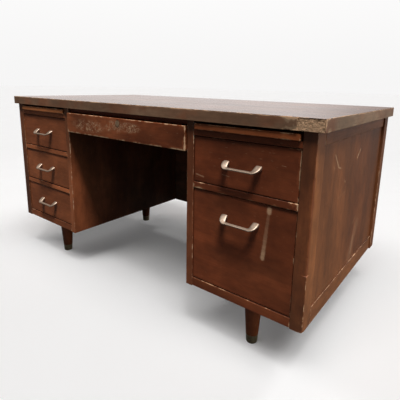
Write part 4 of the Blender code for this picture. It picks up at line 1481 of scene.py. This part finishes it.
def sun(name, toward, energy, spread, receivers):
    """A soft lamp that lights what the given collection takes in, or all but what it leaves out."""
    data = bpy.data.lights.new(name, "SUN")
    data.energy = energy
    data.angle = spread
    lamp = bpy.data.objects.new(name, data)
    lamp.rotation_euler = Vector(toward).to_track_quat("Z", "Y").to_euler()
    lamp.light_linking.receiver_collection = receivers
    bpy.context.scene.collection.objects.link(lamp)
    return lamp


def collected(name, *objects):
    """A collection that lamps can be kept to."""
    made = bpy.data.collections.new(name)
    for item in objects:
        made.objects.link(item)
    return made


def floor_paint(studio):
    """Pale paper: bright to the eye, and dull in what it throws back at the desk."""
    made, paint, shader = material_paint("studio_floor")
    paint.tree.nodes.remove(shader)
    mottle = paint.noise(paint.place(), 3.0, 3.0)
    pale = paint.mix(mottle, times(studio.floor, 0.985), times(studio.floor, 1.015))
    far = paint.span(paint.vector("LENGTH", paint.place()), *FLOOR_FAR)
    shown = paint.node("BsdfDiffuse", (paint.mix(1.0, pale, far, "MULTIPLY"),)).outputs[0]
    glow = paint.node("Emission", ((1.0, 1.0, 1.0), FLOOR_GLOW)).outputs[0]
    seen = paint.node("AddShader", (shown, glow)).outputs[0]
    thrown = paint.node("BsdfDiffuse", (FLOOR_THROWN,)).outputs[0]
    surface = paint.choose(paint.node("LightPath").outputs["Is Camera Ray"], thrown, seen)
    paint.put(paint.tree.nodes["Material Output"].inputs["Surface"], surface)
    return made


def surround(studio):
    """A pale backdrop for the eye, bright behind and overhead for gloss, and a dim room for the rest."""
    world = bpy.data.worlds.new("studio_room")
    bpy.context.scene.world = world
    world.use_nodes = True
    paint = Paint(world.node_tree)
    paint.tree.nodes.remove(paint.tree.nodes["Background"])
    across, back, above = paint.split(paint.node("TexCoord").outputs["Generated"])
    panels = paint.math(
        "MAXIMUM", paint.span(across, -0.42, -0.11, 1.22, 0.40), paint.span(across, 0.0, 0.55, 0.42, 1.40)
    )
    behind = paint.math("MULTIPLY", paint.span(back, -0.05, 0.50), panels)
    glow = paint.math("MAXIMUM", behind, paint.span(above, 0.35, 0.85, 0.0, 0.8))
    rise = paint.mix(paint.span(above, 0.0, 0.30), tuple(studio.backdrop), times(studio.backdrop, 1.06))

    def light(tint, energy):
        return paint.node("Background", (tint, energy)).outputs[0]

    path = paint.node("LightPath").outputs
    room = paint.choose(path["Is Glossy Ray"], light(AMBIENT_TINT, studio.ambient), light(GLOSS_TINT, glow))
    seen = paint.choose(path["Is Camera Ray"], room, light(rise, 1.0))
    paint.put(paint.tree.nodes["World Output"].inputs["Surface"], seen)


def add_camera(scene, studio):
    """The camera, turned round its target and leaning a little."""
    data = bpy.data.cameras.new("camera")
    data.lens = studio.focal
    data.sensor_width = SENSOR
    data.shift_x, data.shift_y = studio.shift
    data.clip_start, data.clip_end = CLIP
    camera = bpy.data.objects.new("camera", data)
    scene.collection.objects.link(camera)
    back = direction(studio.azimuth, studio.elevation)
    right = Vector((math.cos(studio.azimuth), math.sin(studio.azimuth), 0.0))
    up = back.cross(right)
    across = right * math.cos(studio.roll) + up * math.sin(studio.roll)
    upward = up * math.cos(studio.roll) - right * math.sin(studio.roll)
    stand = Matrix((across, upward, back)).transposed().to_4x4()
    stand.translation = Vector(studio.target) + back * studio.distance
    camera.matrix_world = stand
    scene.camera = camera


class DESK_OT_stage(bpy.types.Operator):
    """Make the floor, the lights and the camera"""

    bl_idname = "desk.stage"
    bl_label = "Studio"

    def execute(self, context):
        scene = context.scene
        studio = scene.desk_studio
        scene.view_settings.view_transform = "Standard"
        scene.view_settings.look = "None"
        bm = bmesh.new()
        bmesh.ops.create_grid(bm, x_segments=8, y_segments=8, size=FLOOR_SIZE)
        floor = bpy.data.objects.new("studio_floor", mesh_of(bm, "studio_floor"))
        scene.collection.objects.link(floor)
        floor.data.materials.append(floor_paint(studio))
        surround(studio)

        floor_alone = collected("floor_alone", floor)
        all_but_floor = collected("all_but_floor", floor)
        all_but_floor.collection_objects[0].light_linking.link_state = "EXCLUDE"
        kneehole = collected("kneehole", *(bpy.data.objects[name] for name in KNEEHOLE_BOARDS))
        for index, across in enumerate(KEY_ROW):
            energy = studio.key / len(KEY_ROW)
            sun(f"key_light_{index}", (across, *KEY_TOWARD), energy, studio.key_angle, all_but_floor)
        for name, (toward, share) in FILLS.items():
            sun(name, toward, studio.fill * share, math.radians(SOFT), all_but_floor).visible_glossy = False
        lamp = sun("kneehole_light", KNEEHOLE_TOWARD, KNEEHOLE_STRENGTH, math.radians(SOFT), kneehole)
        lamp.data.color = KNEEHOLE_TINT
        lamp.visible_glossy = False
        for index, (around, lift, spread, share) in enumerate(FLOOR_LIGHTS):
            toward = direction(math.radians(around), math.radians(lift))
            sun(f"floor_light_{index}", toward, studio.floor_light * share, math.radians(spread), floor_alone)
        add_camera(scene, studio)
        return {"FINISHED"}


# Panel and run

OPERATORS = (
    DESK_OT_top, DESK_OT_side_frames, DESK_OT_inner_panels, DESK_OT_pedestal_boards, DESK_OT_drawer_fronts,
    DESK_OT_drawer_boxes, DESK_OT_writing_slides, DESK_OT_centre_drawer, DESK_OT_lock, DESK_OT_pulls,
    DESK_OT_legs, DESK_OT_stage,
)
GROUPS = {"desk_sizes": DeskSizes, "desk_finishes": DeskFinishes, "desk_studio": DeskStudio}


class DESK_PT_panel(bpy.types.Panel):
    """Lists the pieces of the desk and the values that shape them"""

    bl_idname = "DESK_PT_panel"
    bl_label = "Worn teacher desk"
    bl_space_type = "VIEW_3D"
    bl_region_type = "UI"
    bl_category = "Desk"

    def draw(self, context):
        column = self.layout.column()
        for operator in OPERATORS:
            column.operator(operator.bl_idname)
        for label in GROUPS:
            group = getattr(context.scene, label)
            box = self.layout.box()
            for name in group.__annotations__:
                box.prop(group, name)


CLASSES = (*GROUPS.values(), *OPERATORS, DESK_PT_panel)


def register():
    for cls in CLASSES:
        bpy.utils.register_class(cls)
    for label, group in GROUPS.items():
        setattr(bpy.types.Scene, label, PointerProperty(type=group))


def unregister():
    for label in GROUPS:
        delattr(bpy.types.Scene, label)
    for cls in reversed(CLASSES):
        bpy.utils.unregister_class(cls)


def main():
    register()
    for operator in OPERATORS:
        getattr(bpy.ops.desk, operator.bl_idname.split(".")[1])()


if __name__ == "__main__":
    main()
